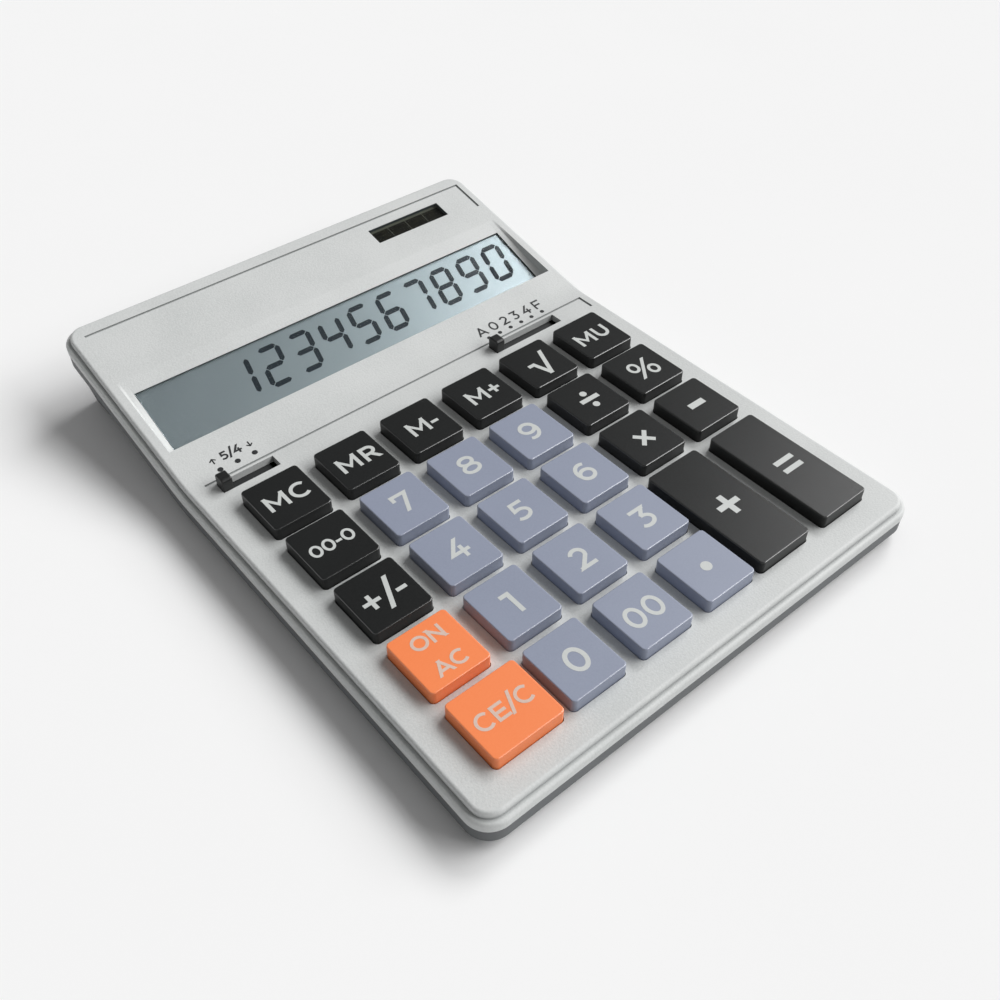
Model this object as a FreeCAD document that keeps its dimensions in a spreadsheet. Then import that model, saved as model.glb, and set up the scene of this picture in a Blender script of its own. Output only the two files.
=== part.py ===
import FreeCAD, Part
import math
import os
import re
import Sketcher

# Desktop calculator with 28 keys, two slide switches, a wide display and a small solar cell.
# The origin is the middle of the footprint on the table. X points right, Y to the rear, Z up.
# The keypad part of the case is level; behind the crease the display panel rises to the rear.

document = FreeCAD.newDocument("desktop_calculator")
Vector = FreeCAD.Vector
ACROSS = Vector(1, 0, 0)

# Driving sizes, in millimetres and degrees. A size in words follows from the sizes before it.
SIZES = [
    ("case_width", 156.0, "width over the rim"),
    ("case_length", 207.0, "length over the rim"),
    ("case_corner", 7.0, "corner radius of the rim in plan"),
    ("case_wall", 1.8, "wall of both case halves"),
    ("plate_height", 12.1, "keypad plate above the table"),
    ("plate_thickness", 2.2, "keypad and display plate"),
    ("panel_run", 71.0, "crease ahead of the rear edge"),
    ("crease_place", "case_length / 2 - panel_run", "line where the display panel starts to rise"),
    ("crease_radius", 40.0, "bend radius of the crease"),
    ("tilt_angle", 12.0, "slope of the display panel"),
    ("plateau_inset", 1.7, "side of the raised plate in from the rim"),
    ("plateau_edge", 0.95, "rounded edge of the raised plate"),
    ("rim_drop", 2.0, "rim below the raised plate"),
    ("rim_edge", 0.9, "rounded edge of the rim"),
    ("parting_drop", 4.7, "joint of the two case halves below the plate"),
    ("parting_gap", 0.4, "height of the shadow line at the joint"),
    ("parting_depth", 0.9, "depth of the shadow line"),
    ("band_height", 4.6, "upright wall of the bottom case"),
    ("band_inset", 0.15, "bottom case in from the rim"),
    ("band_edge", 0.6, "rounded lower edge of that wall"),
    ("tongue_width", 1.2, "width of the tongue"),
    ("tongue_play", 0.1, "play round the tongue"),
    ("tub_inset", 3.6, "foot of the bottom case in from the rim"),
    ("tub_slope", 10.0, "slope of its walls from upright"),
    ("base_height", 1.2, "underside above the table"),
    ("base_thickness", 1.8, "base of the bottom case"),
    ("base_edge", 0.8, "rounded edge of the base"),
    ("foot_radius", 5.0, "rubber foot"),
    ("foot_seat", 0.5, "how deep a foot sits in the base"),
    ("foot_play", 0.15, "play round a foot"),
    ("foot_inset", 14.0, "feet in from the sides"),
    ("foot_across", "case_width / 2 - foot_inset", "feet left and right of the centre"),
    ("foot_front_inset", 15.5, "front feet in from the front edge"),
    ("foot_front", "case_length / 2 - foot_front_inset", "front feet ahead of the centre"),
    ("foot_rear_inset", 23.5, "rear feet in from the rear edge"),
    ("foot_rear", "case_length / 2 - foot_rear_inset", "rear feet behind the centre"),
    ("keypad_side", 9.0, "case beside the six columns"),
    ("key_pitch_across", "(case_width - 2 * keypad_side) / 6", "from column to column"),
    ("keypad_gap", 25.7, "rear row ahead of the crease"),
    ("keypad_rear", "crease_place - keypad_gap", "middle of the rear row behind the centre"),
    ("keypad_front", 19.5, "middle of the front row in from the front edge"),
    ("key_pitch_along", "(case_length / 2 - keypad_front + keypad_rear) / 4", "from row to row"),
    ("key_gap", 5.55, "between two number keys"),
    ("key_width", "key_pitch_across - key_gap", "number keys and the keys behind them"),
    ("left_extra", 0.55, "left column wider than the number keys"),
    ("left_key_width", "key_width + left_extra", "left column"),
    ("last_extra", 0.55, "sixth column wider"),
    ("last_key_width", "key_width + last_extra", "sixth column"),
    ("clear_extra", 3.5, "wide clear key wider"),
    ("clear_key_width", "key_width + clear_extra", "wide clear key"),
    ("plus_extra", 1.75, "tall plus key wider"),
    ("plus_key_width", "key_width + plus_extra", "tall plus key"),
    ("left_shift", -0.03, "left column off the pitch"),
    ("number_shift", 0.3, "number columns off the pitch"),
    ("operator_shift", 0.1, "fifth column off the pitch"),
    ("last_shift", 0.25, "sixth column off the pitch"),
    ("clear_shift", 1.55, "wide clear key off the pitch"),
    ("plus_shift", -1.65, "tall plus key off the pitch"),
    ("row_gap", 3.75, "between two rows"),
    ("key_length", "key_pitch_along - row_gap", "single key, front to rear"),
    ("key_rise", 4.0, "key top above the plate"),
    ("key_corner", 1.2, "corner radius of a key in plan"),
    ("key_edge", 0.35, "rounded top edge of a key"),
    ("key_play", 0.2, "gap round a key in the plate"),
    ("key_wall", 1.3, "wall of a keycap"),
    ("key_roof", 1.5, "top of a keycap"),
    ("key_travel", 1.5, "stroke of a key"),
    ("flange_width", 0.7, "flange round the foot of a key"),
    ("flange_thickness", 0.9, "flange that stops the key under the plate"),
    ("flange_gap", 0.1, "flange below the plate"),
    ("stem_radius", 1.6, "stem of a key"),
    ("board_height", 4.2, "underside of the circuit board"),
    ("board_thickness", 1.6, "circuit board"),
    ("board_side", 8.5, "circuit board in from the sides of the case"),
    ("board_half_width", "case_width / 2 - board_side", "circuit board left and right of the centre"),
    ("board_front_inset", 10.5, "circuit board in from the front edge"),
    ("board_front", "case_length / 2 - board_front_inset", "its front edge ahead of the centre"),
    ("board_past_crease", 0.5, "circuit board behind the crease"),
    ("board_rear", "crease_place + board_past_crease", "its rear edge behind the centre"),
    ("board_corner", 2.0, "corners of the board"),
    ("sheet_thickness", 0.8, "rubber sheet on the board"),
    ("sheet_margin", 1.5, "rubber sheet in from the board's edge"),
    ("sheet_reach", 10.7, "rubber sheet behind the rear row"),
    ("sheet_rear", "keypad_rear + sheet_reach", "rear edge of the rubber sheet"),
    ("dome_top", 8.4, "top of the rubber domes"),
    ("dome_foot_radius", 4.5, "dome at the sheet"),
    ("dome_top_radius", 3.0, "dome at its top"),
    ("dome_roof", 0.7, "rubber over the pill"),
    ("dome_skin", 0.6, "side of a dome"),
    ("pill_radius", 1.9, "carbon pill"),
    ("pill_thickness", 0.4, "carbon pill"),
    ("board_boss_radius", 1.9, "bosses of the board screws"),
    ("board_boss_play", 0.5, "rubber sheet round a boss"),
    ("case_boss_radius", 2.1, "upper bosses of the case screws"),
    ("case_post_radius", 2.9, "lower posts of the case screws"),
    ("case_post_play", 0.4, "board round a post"),
    ("case_post_split", 6.0, "where post and boss meet"),
    ("screw_radius", 1.0, "thread of all screws"),
    ("screw_play", 0.1, "clearance hole round a thread"),
    ("screw_grip", 3.2, "thread in a boss"),
    ("screw_head_radius", 1.9, "screw head"),
    ("screw_head_height", 1.0, "screw head"),
    ("screw_sink", 1.2, "case screw heads above the underside"),
    ("cross_width", 0.5, "slots of the cross recess"),
    ("cross_length", 2.2, "cross recess"),
    ("cross_depth", 0.6, "cross recess"),
    ("front_screw_inset", 6.9, "front case screws in from the front edge"),
    ("front_screw_place", "case_length / 2 - front_screw_inset", "front case screws ahead of the centre"),
    ("middle_screw_gap", 10.5, "middle case screw ahead of the crease"),
    ("middle_screw_place", "crease_place - middle_screw_gap", "middle case screw behind the centre"),
    ("rear_screw_inset", 11.5, "rear case screws in from the rear edge"),
    ("rear_screw_place", "case_length / 2 - rear_screw_inset", "rear case screws behind the centre"),
    ("rear_screw_side", 12.0, "rear case screws in from the sides"),
    ("rear_screw_across", "case_width / 2 - rear_screw_side", "rear case screws left and right"),
    ("recess_front", 12.7, "front edge of the display recess up the panel"),
    ("recess_rear", 43.7, "rear edge of the display recess"),
    ("recess_side", 4.9, "recess in from the sides of the case"),
    ("recess_half_width", "case_width / 2 - recess_side", "recess left and right of the centre"),
    ("recess_foot", 0.15, "floor of the recess beside the display cover"),
    ("recess_step", 0.8, "steep upper part of the recess's sides"),
    ("recess_step_depth", 0.7, "share of the recess's depth that this part takes"),
    ("display_tilt", 7.0, "recess floor against the panel"),
    ("lens_side", 7.6, "display cover in from the sides of the case"),
    ("lens_half_width", "case_width / 2 - lens_side", "display cover left and right"),
    ("lens_rear", 5.8, "display cover ahead of the recess's rear edge"),
    ("lens_length", 24.9, "display cover, front to rear"),
    ("lens_thickness", 0.9, "display cover"),
    ("lens_play", 0.12, "gap round a cover"),
    ("polariser_thickness", 0.2, "film of the display"),
    ("glass_thickness", 0.7, "each glass of the display"),
    ("glass_margin", 1.0, "glass beyond the cover"),
    ("glass_ledge", 2.5, "contact ledge of the rear glass"),
    ("frame_plate", 1.2, "back of the display frame"),
    ("frame_wall", 1.0, "rim of the display frame"),
    ("frame_play", 0.15, "play round the glass"),
    ("frame_ear", 3.0, "ears of the display frame"),
    ("ear_half_width", 3.0, "ears left and right of their stake"),
    ("stake_side", 18.0, "stakes in from the sides of the case"),
    ("stake_across", "case_width / 2 - stake_side", "stakes left and right of the centre"),
    ("stake_radius", 0.9, "stakes that hold the frame"),
    ("stake_head_radius", 1.5, "melted heads of the stakes"),
    ("stake_head_height", 0.5, "melted heads of the stakes"),
    ("tray_wall", 1.3, "display tray beyond the frame"),
    ("ribbon_half_width", 15.0, "flat ribbon of the display"),
    ("ribbon_thickness", 0.2, "flat ribbon of the display"),
    ("ribbon_landing", 3.5, "ribbon on the board"),
    ("solar_lead", 3.6, "solar window left of the fifth column's line"),
    ("solar_left", "1.5 * key_pitch_across - solar_lead", "left edge of the solar window"),
    ("solar_width", 29.7, "solar window"),
    ("solar_front", 54.3, "front edge of the solar window up the panel"),
    ("solar_length", 6.9, "solar window"),
    ("solar_margin", 1.7, "cell beyond the window"),
    ("solar_thickness", 1.1, "solar cell"),
    ("solar_wall", 1.2, "walls round the cell"),
    ("groove_width", 0.85, "engraved lines"),
    ("leg_width", 0.95, "short legs of the engraved lines"),
    ("groove_depth", 0.5, "engraved lines"),
    ("lower_groove_gap", 3.9, "line behind the switches ahead of the crease"),
    ("lower_groove_place", "crease_place - lower_groove_gap", "line behind the switches"),
    ("lower_left_inset", 6.8, "its left end in from the side"),
    ("lower_groove_left", "case_width / 2 - lower_left_inset", "its left end from the centre"),
    ("lower_right_inset", 5.3, "its right end in from the side"),
    ("lower_groove_right", "case_width / 2 - lower_right_inset", "its right end from the centre"),
    ("lower_leg", 6.1, "its short leg"),
    ("upper_groove_place", 65.5, "line near the rear edge up the panel"),
    ("upper_left_inset", 6.1, "its left end in from the side"),
    ("upper_groove_left", "case_width / 2 - upper_left_inset", "its left end from the centre"),
    ("upper_right_inset", 4.9, "its right end in from the side"),
    ("upper_groove_right", "case_width / 2 - upper_right_inset", "its right end from the centre"),
    ("upper_leg", 13.3, "its short leg"),
    ("slot_gap", 9.7, "front edge of the switch slots ahead of the crease"),
    ("slot_front", "crease_place - slot_gap", "front edge of the switch slots behind the centre"),
    ("slot_width", 4.6, "switch slots, front to rear"),
    ("rounding_slot_inset", 9.65, "left end of the rounding slot in from the side"),
    ("rounding_slot_left", "rounding_slot_inset - case_width / 2", "left end of the rounding slot"),
    ("rounding_slot_length", 18.5, "rounding slot"),
    ("rounding_travel", 11.4, "rounding knob over three positions"),
    ("decimal_slot_lead", 3.3, "decimal slot left of the fifth column's line"),
    ("decimal_slot_left", "1.5 * key_pitch_across - decimal_slot_lead", "left end of the decimal slot"),
    ("decimal_slot_length", 27.9, "decimal slot"),
    ("decimal_travel", 23.0, "decimal knob over six positions"),
    ("knob_play", 0.1, "play of the knobs"),
    ("knob_width", 3.3, "knob, left to right"),
    ("knob_rise", 4.1, "knob above the plate"),
    ("knob_round", 0.9, "round front and rear of the knob's top"),
    ("knob_edge", 0.45, "rounded edges of the knob"),
    ("bed_thickness", 0.6, "black bed under a slot"),
    ("bed_overlap", 2.6, "bed beyond the slot"),
    ("bed_short", 1.5, "bed short of the slot's right end"),
    ("slit_width", 1.3, "slit of the bed"),
    ("neck_width", 2.6, "neck of the knob, left to right"),
    ("shoe_length", 6.4, "shoe under the bed, left to right"),
    ("shoe_width", 5.6, "shoe under the bed, front to rear"),
    ("shoe_thickness", 1.2, "shoe under the bed"),
    ("rib_thickness", 1.2, "ribs beside the beds"),
    ("wiper_thickness", 0.25, "sprung strip under a knob"),
    ("wiper_reach", 2.7, "wiper arms left and right"),
    ("wiper_width", 2.4, "wiper, front to rear"),
    ("chip_across", -22.0, "chip left of the centre"),
    ("chip_gap", 7.5, "chip ahead of the crease"),
    ("chip_place", "crease_place - chip_gap", "chip behind the centre"),
    ("chip_radius", 6.0, "black resin drop"),
    ("chip_rise", 1.8, "black resin drop"),
    ("can_radius", 1.7, "small capacitor"),
    ("can_length", 7.0, "small capacitor"),
    ("can_across", 9.0, "capacitor right of the centre"),
    ("can_gap", 6.5, "capacitor ahead of the crease"),
    ("can_place", "crease_place - can_gap", "capacitor behind the centre"),
    ("cell_side", 48.0, "button cell in from the right side"),
    ("cell_across", "case_width / 2 - cell_side", "button cell right of the centre"),
    ("cell_rear_inset", 17.5, "button cell in from the rear edge"),
    ("cell_place", "case_length / 2 - cell_rear_inset", "button cell behind the centre"),
    ("cell_radius", 5.8, "button cell"),
    ("cell_height", 5.4, "button cell"),
    ("well_play", 0.3, "play round the cell"),
    ("well_wall", 1.4, "wall of the battery well"),
    ("contact_thickness", 0.2, "battery contacts"),
    ("contact_width", 3.0, "battery contacts"),
    ("cover_left", 9.0, "battery cover left of the cell's centre"),
    ("cover_right", 16.0, "battery cover right of the cell's centre"),
    ("cover_half_length", 8.5, "battery cover"),
    ("cover_thickness", 1.5, "battery cover"),
    ("cover_play", 0.2, "play round the cover"),
    ("cover_corner", 2.0, "corners of the cover"),
    ("cover_shelf", 1.4, "base over the cover"),
    ("cover_screw_place", 12.0, "cover screw right of the cell's centre"),
    ("lead_radius", 0.45, "insulated leads"),
    ("lead_spacing", 4.0, "between the two leads of a pair"),
]

sheet = document.addObject("Spreadsheet::Sheet", "Sizes")
for row, (alias, size, meaning) in enumerate(SIZES, start=1):
    sheet.set("A%d" % row, meaning)
    sheet.set("B%d" % row, "=" + size if isinstance(size, str) else str(size))
    sheet.setAlias("B%d" % row, alias)
document.recompute()
ALIASES = {alias for alias, size, meaning in SIZES}


def formula(text):
    """A length in words of the sheet, as an expression of the document."""
    return re.sub(r"[a-z_]+", lambda word: ("Sizes." if word.group() in ALIASES else "") + word.group(), text)


def value(text):
    """The same length as a number."""
    return float(sheet.evalExpression(formula(text)))


def bind(item, property_name, text):
    """Ties one property of an object to the sheet."""
    item.setExpression(property_name, formula(text))


# Lengths that several pieces share
HALF_WIDTH = "(case_width / 2)"
HALF_LENGTH = "(case_length / 2)"
PLATE_UNDER = "(plate_height - plate_thickness)"
KEY_TOP = "(plate_height + key_rise)"
FLANGE_TOP = f"({PLATE_UNDER} - flange_gap)"
KEY_FOOT = f"({FLANGE_TOP} - flange_thickness)"
BOARD_TOP = "(board_height + board_thickness)"
SHEET_TOP = f"({BOARD_TOP} + sheet_thickness)"
FLOOR_TOP = "(base_height + base_thickness)"
BAND_FOOT = "(parting_drop + band_height)"
RECESS_DEPTH = "((recess_rear - recess_front) * tan(display_tilt))"
LENS_FRONT = "(lens_rear + lens_length)"
TRAY_THICKNESS = "(lens_thickness + polariser_thickness)"
BED_TOP = PLATE_UNDER
BED_FOOT = f"({BED_TOP} - bed_thickness)"
KNOB_DEPTH = "(slot_width - 2 * knob_play)"
KNOB_MIDDLE = "(slot_front + slot_width / 2)"
OVERLAP = "(plate_thickness / 4)"

# Frames that pieces stand in: where each starts in Y and Z, and its turn about X.
# The panel frame runs up the display panel from the crease, and the window frame down the recess's
# floor from its rear edge.
FRAMES = {
    "case": ("0", "0", "0"),
    "panel": ("crease_place", "plate_height", "tilt_angle"),
    "window": ("(crease_place + recess_rear * cos(tilt_angle))",
               "(plate_height + recess_rear * sin(tilt_angle))", "(tilt_angle + display_tilt)"),
}


def in_case(frame, along, up):
    """Y and Z in the case of a point given in a frame, as lengths in words."""
    start_y, start_z, turn = FRAMES[frame]
    place_y = f"({start_y} + ({along}) * cos({turn}) - ({up}) * sin({turn}))"
    place_z = f"({start_z} + ({along}) * sin({turn}) + ({up}) * cos({turn}))"
    return place_y, place_z


def place(item, across, along, up, frame="case"):
    """Puts an object at a point of a frame, turned with the frame."""
    place_y, place_z = in_case(frame, along, up) if frame != "case" else (along, up)
    turn = FRAMES[frame][2]
    start = Vector(value(across), value(place_y), value(place_z))
    item.Placement = FreeCAD.Placement(start, FreeCAD.Rotation(ACROSS, value(turn)))
    bind(item, "Placement.Base.x", across)
    bind(item, "Placement.Base.y", place_y)
    bind(item, "Placement.Base.z", place_z)
    if frame != "case":
        bind(item, "Placement.Rotation.Angle", f"{turn} * 1 deg")


def box(name, across, along, up, frame="case"):
    """A block between two values on each axis of a frame."""
    item = document.addObject("Part::Box", name)
    bind(item, "Length", f"({across[1]}) - ({across[0]})")
    bind(item, "Width", f"({along[1]}) - ({along[0]})")
    bind(item, "Height", f"({up[1]}) - ({up[0]})")
    place(item, across[0], along[0], up[0], frame)
    return item


def cylinder(name, radius, across, along, up, frame="case"):
    """An upright round piece of a frame."""
    item = document.addObject("Part::Cylinder", name)
    bind(item, "Radius", radius)
    bind(item, "Height", f"({up[1]}) - ({up[0]})")
    place(item, across, along, up[0], frame)
    return item


def cone(name, foot_radius, top_radius, across, along, up):
    """An upright tapered round piece."""
    item = document.addObject("Part::Cone", name)
    bind(item, "Radius1", foot_radius)
    bind(item, "Radius2", top_radius)
    bind(item, "Height", f"({up[1]}) - ({up[0]})")
    place(item, across, along, up[0])
    return item


def fuse(name, pieces):
    """Several pieces as one."""
    item = document.addObject("Part::MultiFuse", name)
    item.Shapes = pieces
    return item


def cut(name, base, tools):
    """A piece less its cutters."""
    item = document.addObject("Part::Cut", name)
    item.Base = base
    item.Tool = tools[0] if len(tools) == 1 else fuse(name + "_cutters", tools)
    return item


def group(name, pieces):
    """Like pieces that lie apart, as one set."""
    item = document.addObject("Part::Compound", name)
    item.Links = pieces
    return item


def new_sketch(body, name, role="XY_Plane", height="0"):
    """A sketch on a plane of the body's origin, or above it."""
    plane = [item for item in body.Origin.OriginFeatures if item.Role == role][0]
    sketch = body.newObject("Sketcher::SketchObject", name)
    sketch.AttachmentSupport = [(plane, "")]
    sketch.MapMode = "FlatFace"
    sketch.AttachmentOffset = FreeCAD.Placement(Vector(0, 0, value(height)), FreeCAD.Rotation())
    bind(sketch, "AttachmentOffset.Base.z", height)
    return sketch


def dimension(sketch, kind, *arguments, text):
    """One dimension of a sketch, tied to the sheet."""
    index = sketch.addConstraint(Sketcher.Constraint(kind, *arguments, value(text)))
    sketch.renameConstraint(index, "size_%d" % index)
    bind(sketch, "Constraints.size_%d" % index, text)


def fix_point(sketch, edge, end, across, up):
    """Ties a point of a sketch to its place from the sketch's origin."""
    horizontal_axis, vertical_axis = -1, -2
    if abs(value(across)) < 1e-9:
        sketch.addConstraint(Sketcher.Constraint("PointOnObject", edge, end, vertical_axis))
    else:
        dimension(sketch, "DistanceX", -1, 1, edge, end, text=across)
    if abs(value(up)) < 1e-9:
        sketch.addConstraint(Sketcher.Constraint("PointOnObject", edge, end, horizontal_axis))
    else:
        dimension(sketch, "DistanceY", -1, 1, edge, end, text=up)


def outline(sketch, points, arcs=None):
    """A closed outline through points; arcs gives a segment's radius and the side of its centre."""
    arcs = arcs or {}
    spots = [Vector(value(across), value(up), 0) for across, up in points]
    first = sketch.GeometryCount
    ends = []
    for index, start in enumerate(spots):
        finish = spots[(index + 1) % len(spots)]
        if index not in arcs:
            sketch.addGeometry(Part.LineSegment(start, finish), False)
            ends.append((1, 2))
            continue
        radius, side = arcs[index]
        chord = finish - start
        reach = math.sqrt(value(radius) ** 2 - chord.Length ** 2 / 4)
        leftward = Vector(-chord.y, chord.x, 0).normalize()
        centre = (start + finish) * 0.5 + leftward * (reach if side == "left" else -reach)
        begin, end = (start, finish) if side == "left" else (finish, start)
        angles = [math.atan2(spot.y - centre.y, spot.x - centre.x) for spot in (begin, end)]
        circle = Part.Circle(centre, Vector(0, 0, 1), value(radius))
        sketch.addGeometry(Part.ArcOfCircle(circle, angles[0], angles[1]), False)
        ends.append((1, 2) if side == "left" else (2, 1))
    for index, (across, up) in enumerate(points):
        after = (index + 1) % len(points)
        join = (first + index, ends[index][1], first + after, ends[after][0])
        sketch.addConstraint(Sketcher.Constraint("Coincident", *join))
        fix_point(sketch, first + index, ends[index][0], across, up)
    for index, (radius, side) in arcs.items():
        dimension(sketch, "Radius", first + index, text=radius)


def rounded_rectangle(sketch, left, right, front, rear, radius):
    """A rectangle with four equal round corners."""
    first = sketch.GeometryCount
    x0, x1, y0, y1, r = [value(text) for text in (left, right, front, rear, radius)]
    corners = [Vector(x0, y0, 0), Vector(x1, y0, 0), Vector(x1, y1, 0), Vector(x0, y1, 0)]
    for index in range(4):
        here, there = corners[index], corners[(index + 1) % 4]
        step = (there - here).normalize() * r
        sketch.addGeometry(Part.LineSegment(here + step, there - step), False)
    for index in range(4):
        corner = corners[(index + 1) % 4]
        inward = Vector(1 if corner.x == x0 else -1, 1 if corner.y == y0 else -1, 0) * r
        circle = Part.Circle(corner + inward, Vector(0, 0, 1), r)
        begin = math.radians(90 * index - 90)
        sketch.addGeometry(Part.ArcOfCircle(circle, begin, begin + math.pi / 2), False)
    for index in range(4):
        line, arc, following = first + index, first + 4 + index, first + (index + 1) % 4
        sketch.addConstraint(Sketcher.Constraint("Tangent", line, 2, arc, 1))
        sketch.addConstraint(Sketcher.Constraint("Tangent", arc, 2, following, 1))
        sketch.addConstraint(Sketcher.Constraint("Vertical" if index % 2 else "Horizontal", line))
    for index in range(1, 4):
        sketch.addConstraint(Sketcher.Constraint("Equal", first + 4, first + 4 + index))
    dimension(sketch, "Radius", first + 4, text=radius)
    dimension(sketch, "DistanceY", -1, 1, first, 1, text=front)
    dimension(sketch, "DistanceX", -1, 1, first + 1, 1, text=right)
    dimension(sketch, "DistanceY", -1, 1, first + 2, 1, text=rear)
    dimension(sketch, "DistanceX", -1, 1, first + 3, 1, text=left)


def pad(body, sketch, length, both_ways=False, slope=None):
    """Builds a sketch up to a height, or to both sides of it."""
    item = body.newObject("PartDesign::Pad", sketch.Name + "_pad")
    item.Profile = sketch
    item.Midplane = both_ways
    bind(item, "Length", length)
    if slope:
        bind(item, "TaperAngle", slope)
    return item


def pocket(body, sketch, length=None, upward=False):
    """Cuts a sketch into a body: right through, both ways, or upward to a depth."""
    item = body.newObject("PartDesign::Pocket", sketch.Name + "_pocket")
    item.Profile = sketch
    if length is None:
        item.Type = "ThroughAll"
        item.Midplane = True
    else:
        item.Reversed = upward
        bind(item, "Length", length)
    return item


def round_edges(body, radius, wanted):
    """Rounds those edges of the body so far whose middle point is wanted."""
    document.recompute([body])
    tip = body.Tip
    names = []
    for index, edge in enumerate(tip.Shape.Edges, start=1):
        first, last = edge.ParameterRange
        if wanted(edge.valueAt((first + last) / 2)):
            names.append("Edge%d" % index)
    item = body.newObject("PartDesign::Fillet", body.Name + "_edge")
    item.Base = (tip, names)
    bind(item, "Radius", radius)
    return item


def new_body(name):
    return document.addObject("PartDesign::Body", name)


NODES = []


def piece(item, label):
    """Marks an object as one real piece of the calculator."""
    item.Label = label
    NODES.append(item)
    return item


def tube(name, label_points, radius):
    """A thin round lead: straight runs joined by tangent arcs."""
    edges = []
    last = label_points[0]
    for before, here, after in zip(label_points, label_points[1:], label_points[2:]):
        back, onward = (before - here), (after - here)
        turn = math.pi - back.getAngle(onward)
        setback = 0.45 * min(back.Length, onward.Length)
        enter = here + back.normalize() * setback
        leave = here + onward.normalize() * setback
        bend = setback / math.tan(turn / 2)
        middle = (enter + leave) * 0.5
        inward = (middle - here).normalize()
        centre = here + inward * (bend / math.cos(turn / 2))
        edges.append(Part.LineSegment(last, enter).toShape())
        edges.append(Part.Arc(enter, centre - inward * bend, leave).toShape())
        last = leave
    edges.append(Part.LineSegment(last, label_points[-1]).toShape())
    path = Part.Wire(edges)
    heading = edges[0].tangentAt(edges[0].FirstParameter)
    ring = Part.Wire(Part.makeCircle(radius, label_points[0], heading))
    item = document.addObject("Part::Feature", name)
    item.Shape = path.makePipeShell([ring], True, False)
    return item


# Shapes that follow the bent plate

REACH = f"({HALF_LENGTH} + case_wall)"
BEND_RUN = "(crease_radius * tan(tilt_angle / 2))"
REAR_PLATE = f"(plate_height + ({HALF_LENGTH} - crease_place) * tan(tilt_angle))"


def side_line(drop):
    """The bent surface seen from the side, a given drop below the plate, front to rear."""
    low = f"(plate_height - ({drop}))"
    return [
        (f"-{REACH}", low),
        (f"crease_place - {BEND_RUN}", low),
        (f"crease_place + {BEND_RUN} * cos(tilt_angle)", f"{low} + {BEND_RUN} * sin(tilt_angle)"),
        (REACH, f"{low} + ({REACH} - crease_place) * tan(tilt_angle)"),
    ]


def draw_side(sketch, upper, lower):
    """The space between two drops below the plate, seen from the side."""
    points = side_line(lower) + side_line(upper)[::-1]
    outline(sketch, points, {1: ("crease_radius", "left"), 5: ("crease_radius", "right")})


def on_outline(inset, spot):
    """Whether a point lies on the case's plan outline, not on a line across the plate."""
    slack = (value("case_corner") - value(inset)) * 0.35 + 0.01
    beside = abs(spot.x) > value(HALF_WIDTH) - value(inset) - slack
    ahead = abs(spot.y) > value(HALF_LENGTH) - value(inset) - slack
    return beside or ahead


def plate_line(place_y, drop):
    """Height of the bent surface at a place, as a number."""
    bend = value(BEND_RUN)
    start = value("crease_place") - bend
    tilt = math.radians(value("tilt_angle"))
    radius = value("crease_radius")
    low = value("plate_height") - value(drop)
    if place_y <= start:
        return low
    if place_y < value("crease_place") + bend * math.cos(tilt):
        return low + radius - math.sqrt(radius ** 2 - (place_y - start) ** 2)
    return low + (place_y - value("crease_place")) * math.tan(tilt)


def bent_slab(name, upper, lower, inset, edge=None, edge_drop=None):
    """A slab between two drops below the plate, inside the case's outline less an inset."""
    body = new_body(name)
    side = new_sketch(body, name + "_side", "YZ_Plane")
    draw_side(side, upper, lower)
    pad(body, side, "case_width + 2 * case_wall", both_ways=True)
    plan = new_sketch(body, name + "_plan")
    outer = f"({HALF_WIDTH} + 2 * case_wall)"
    outer_length = f"({HALF_LENGTH} + 2 * case_wall)"
    outline(plan, [(f"-{outer}", f"-{outer_length}"), (outer, f"-{outer_length}"),
                   (outer, outer_length), (f"-{outer}", outer_length)])
    across, along = f"({HALF_WIDTH} - ({inset}))", f"({HALF_LENGTH} - ({inset}))"
    rounded_rectangle(plan, f"-{across}", across, f"-{along}", along, f"case_corner - ({inset})")
    pocket(body, plan)
    if edge:
        near = 0.02

        def wanted(spot):
            return on_outline(inset, spot) and abs(spot.z - plate_line(spot.y, edge_drop)) < near

        round_edges(body, edge, wanted)
    return body


def tub(name, foot, inset, upper, edge=None):
    """A tray with sloping walls that stands at a height and ends a drop below the plate."""
    body = new_body(name)
    plan = new_sketch(body, name + "_plan", height=foot)
    across, along = f"({HALF_WIDTH} - ({inset}))", f"({HALF_LENGTH} - ({inset}))"
    rounded_rectangle(plan, f"-{across}", across, f"-{along}", along, "case_corner / 2")
    pad(body, plan, f"{REAR_PLATE} - ({upper}) - ({foot}) + case_wall", slope="tub_slope")
    side = new_sketch(body, name + "_side", "YZ_Plane")
    draw_side(side, "-plate_height * 4", upper)
    pocket(body, side)
    if edge:
        round_edges(body, edge, lambda spot: abs(spot.z - value(foot)) < 0.01)
    return body


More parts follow.
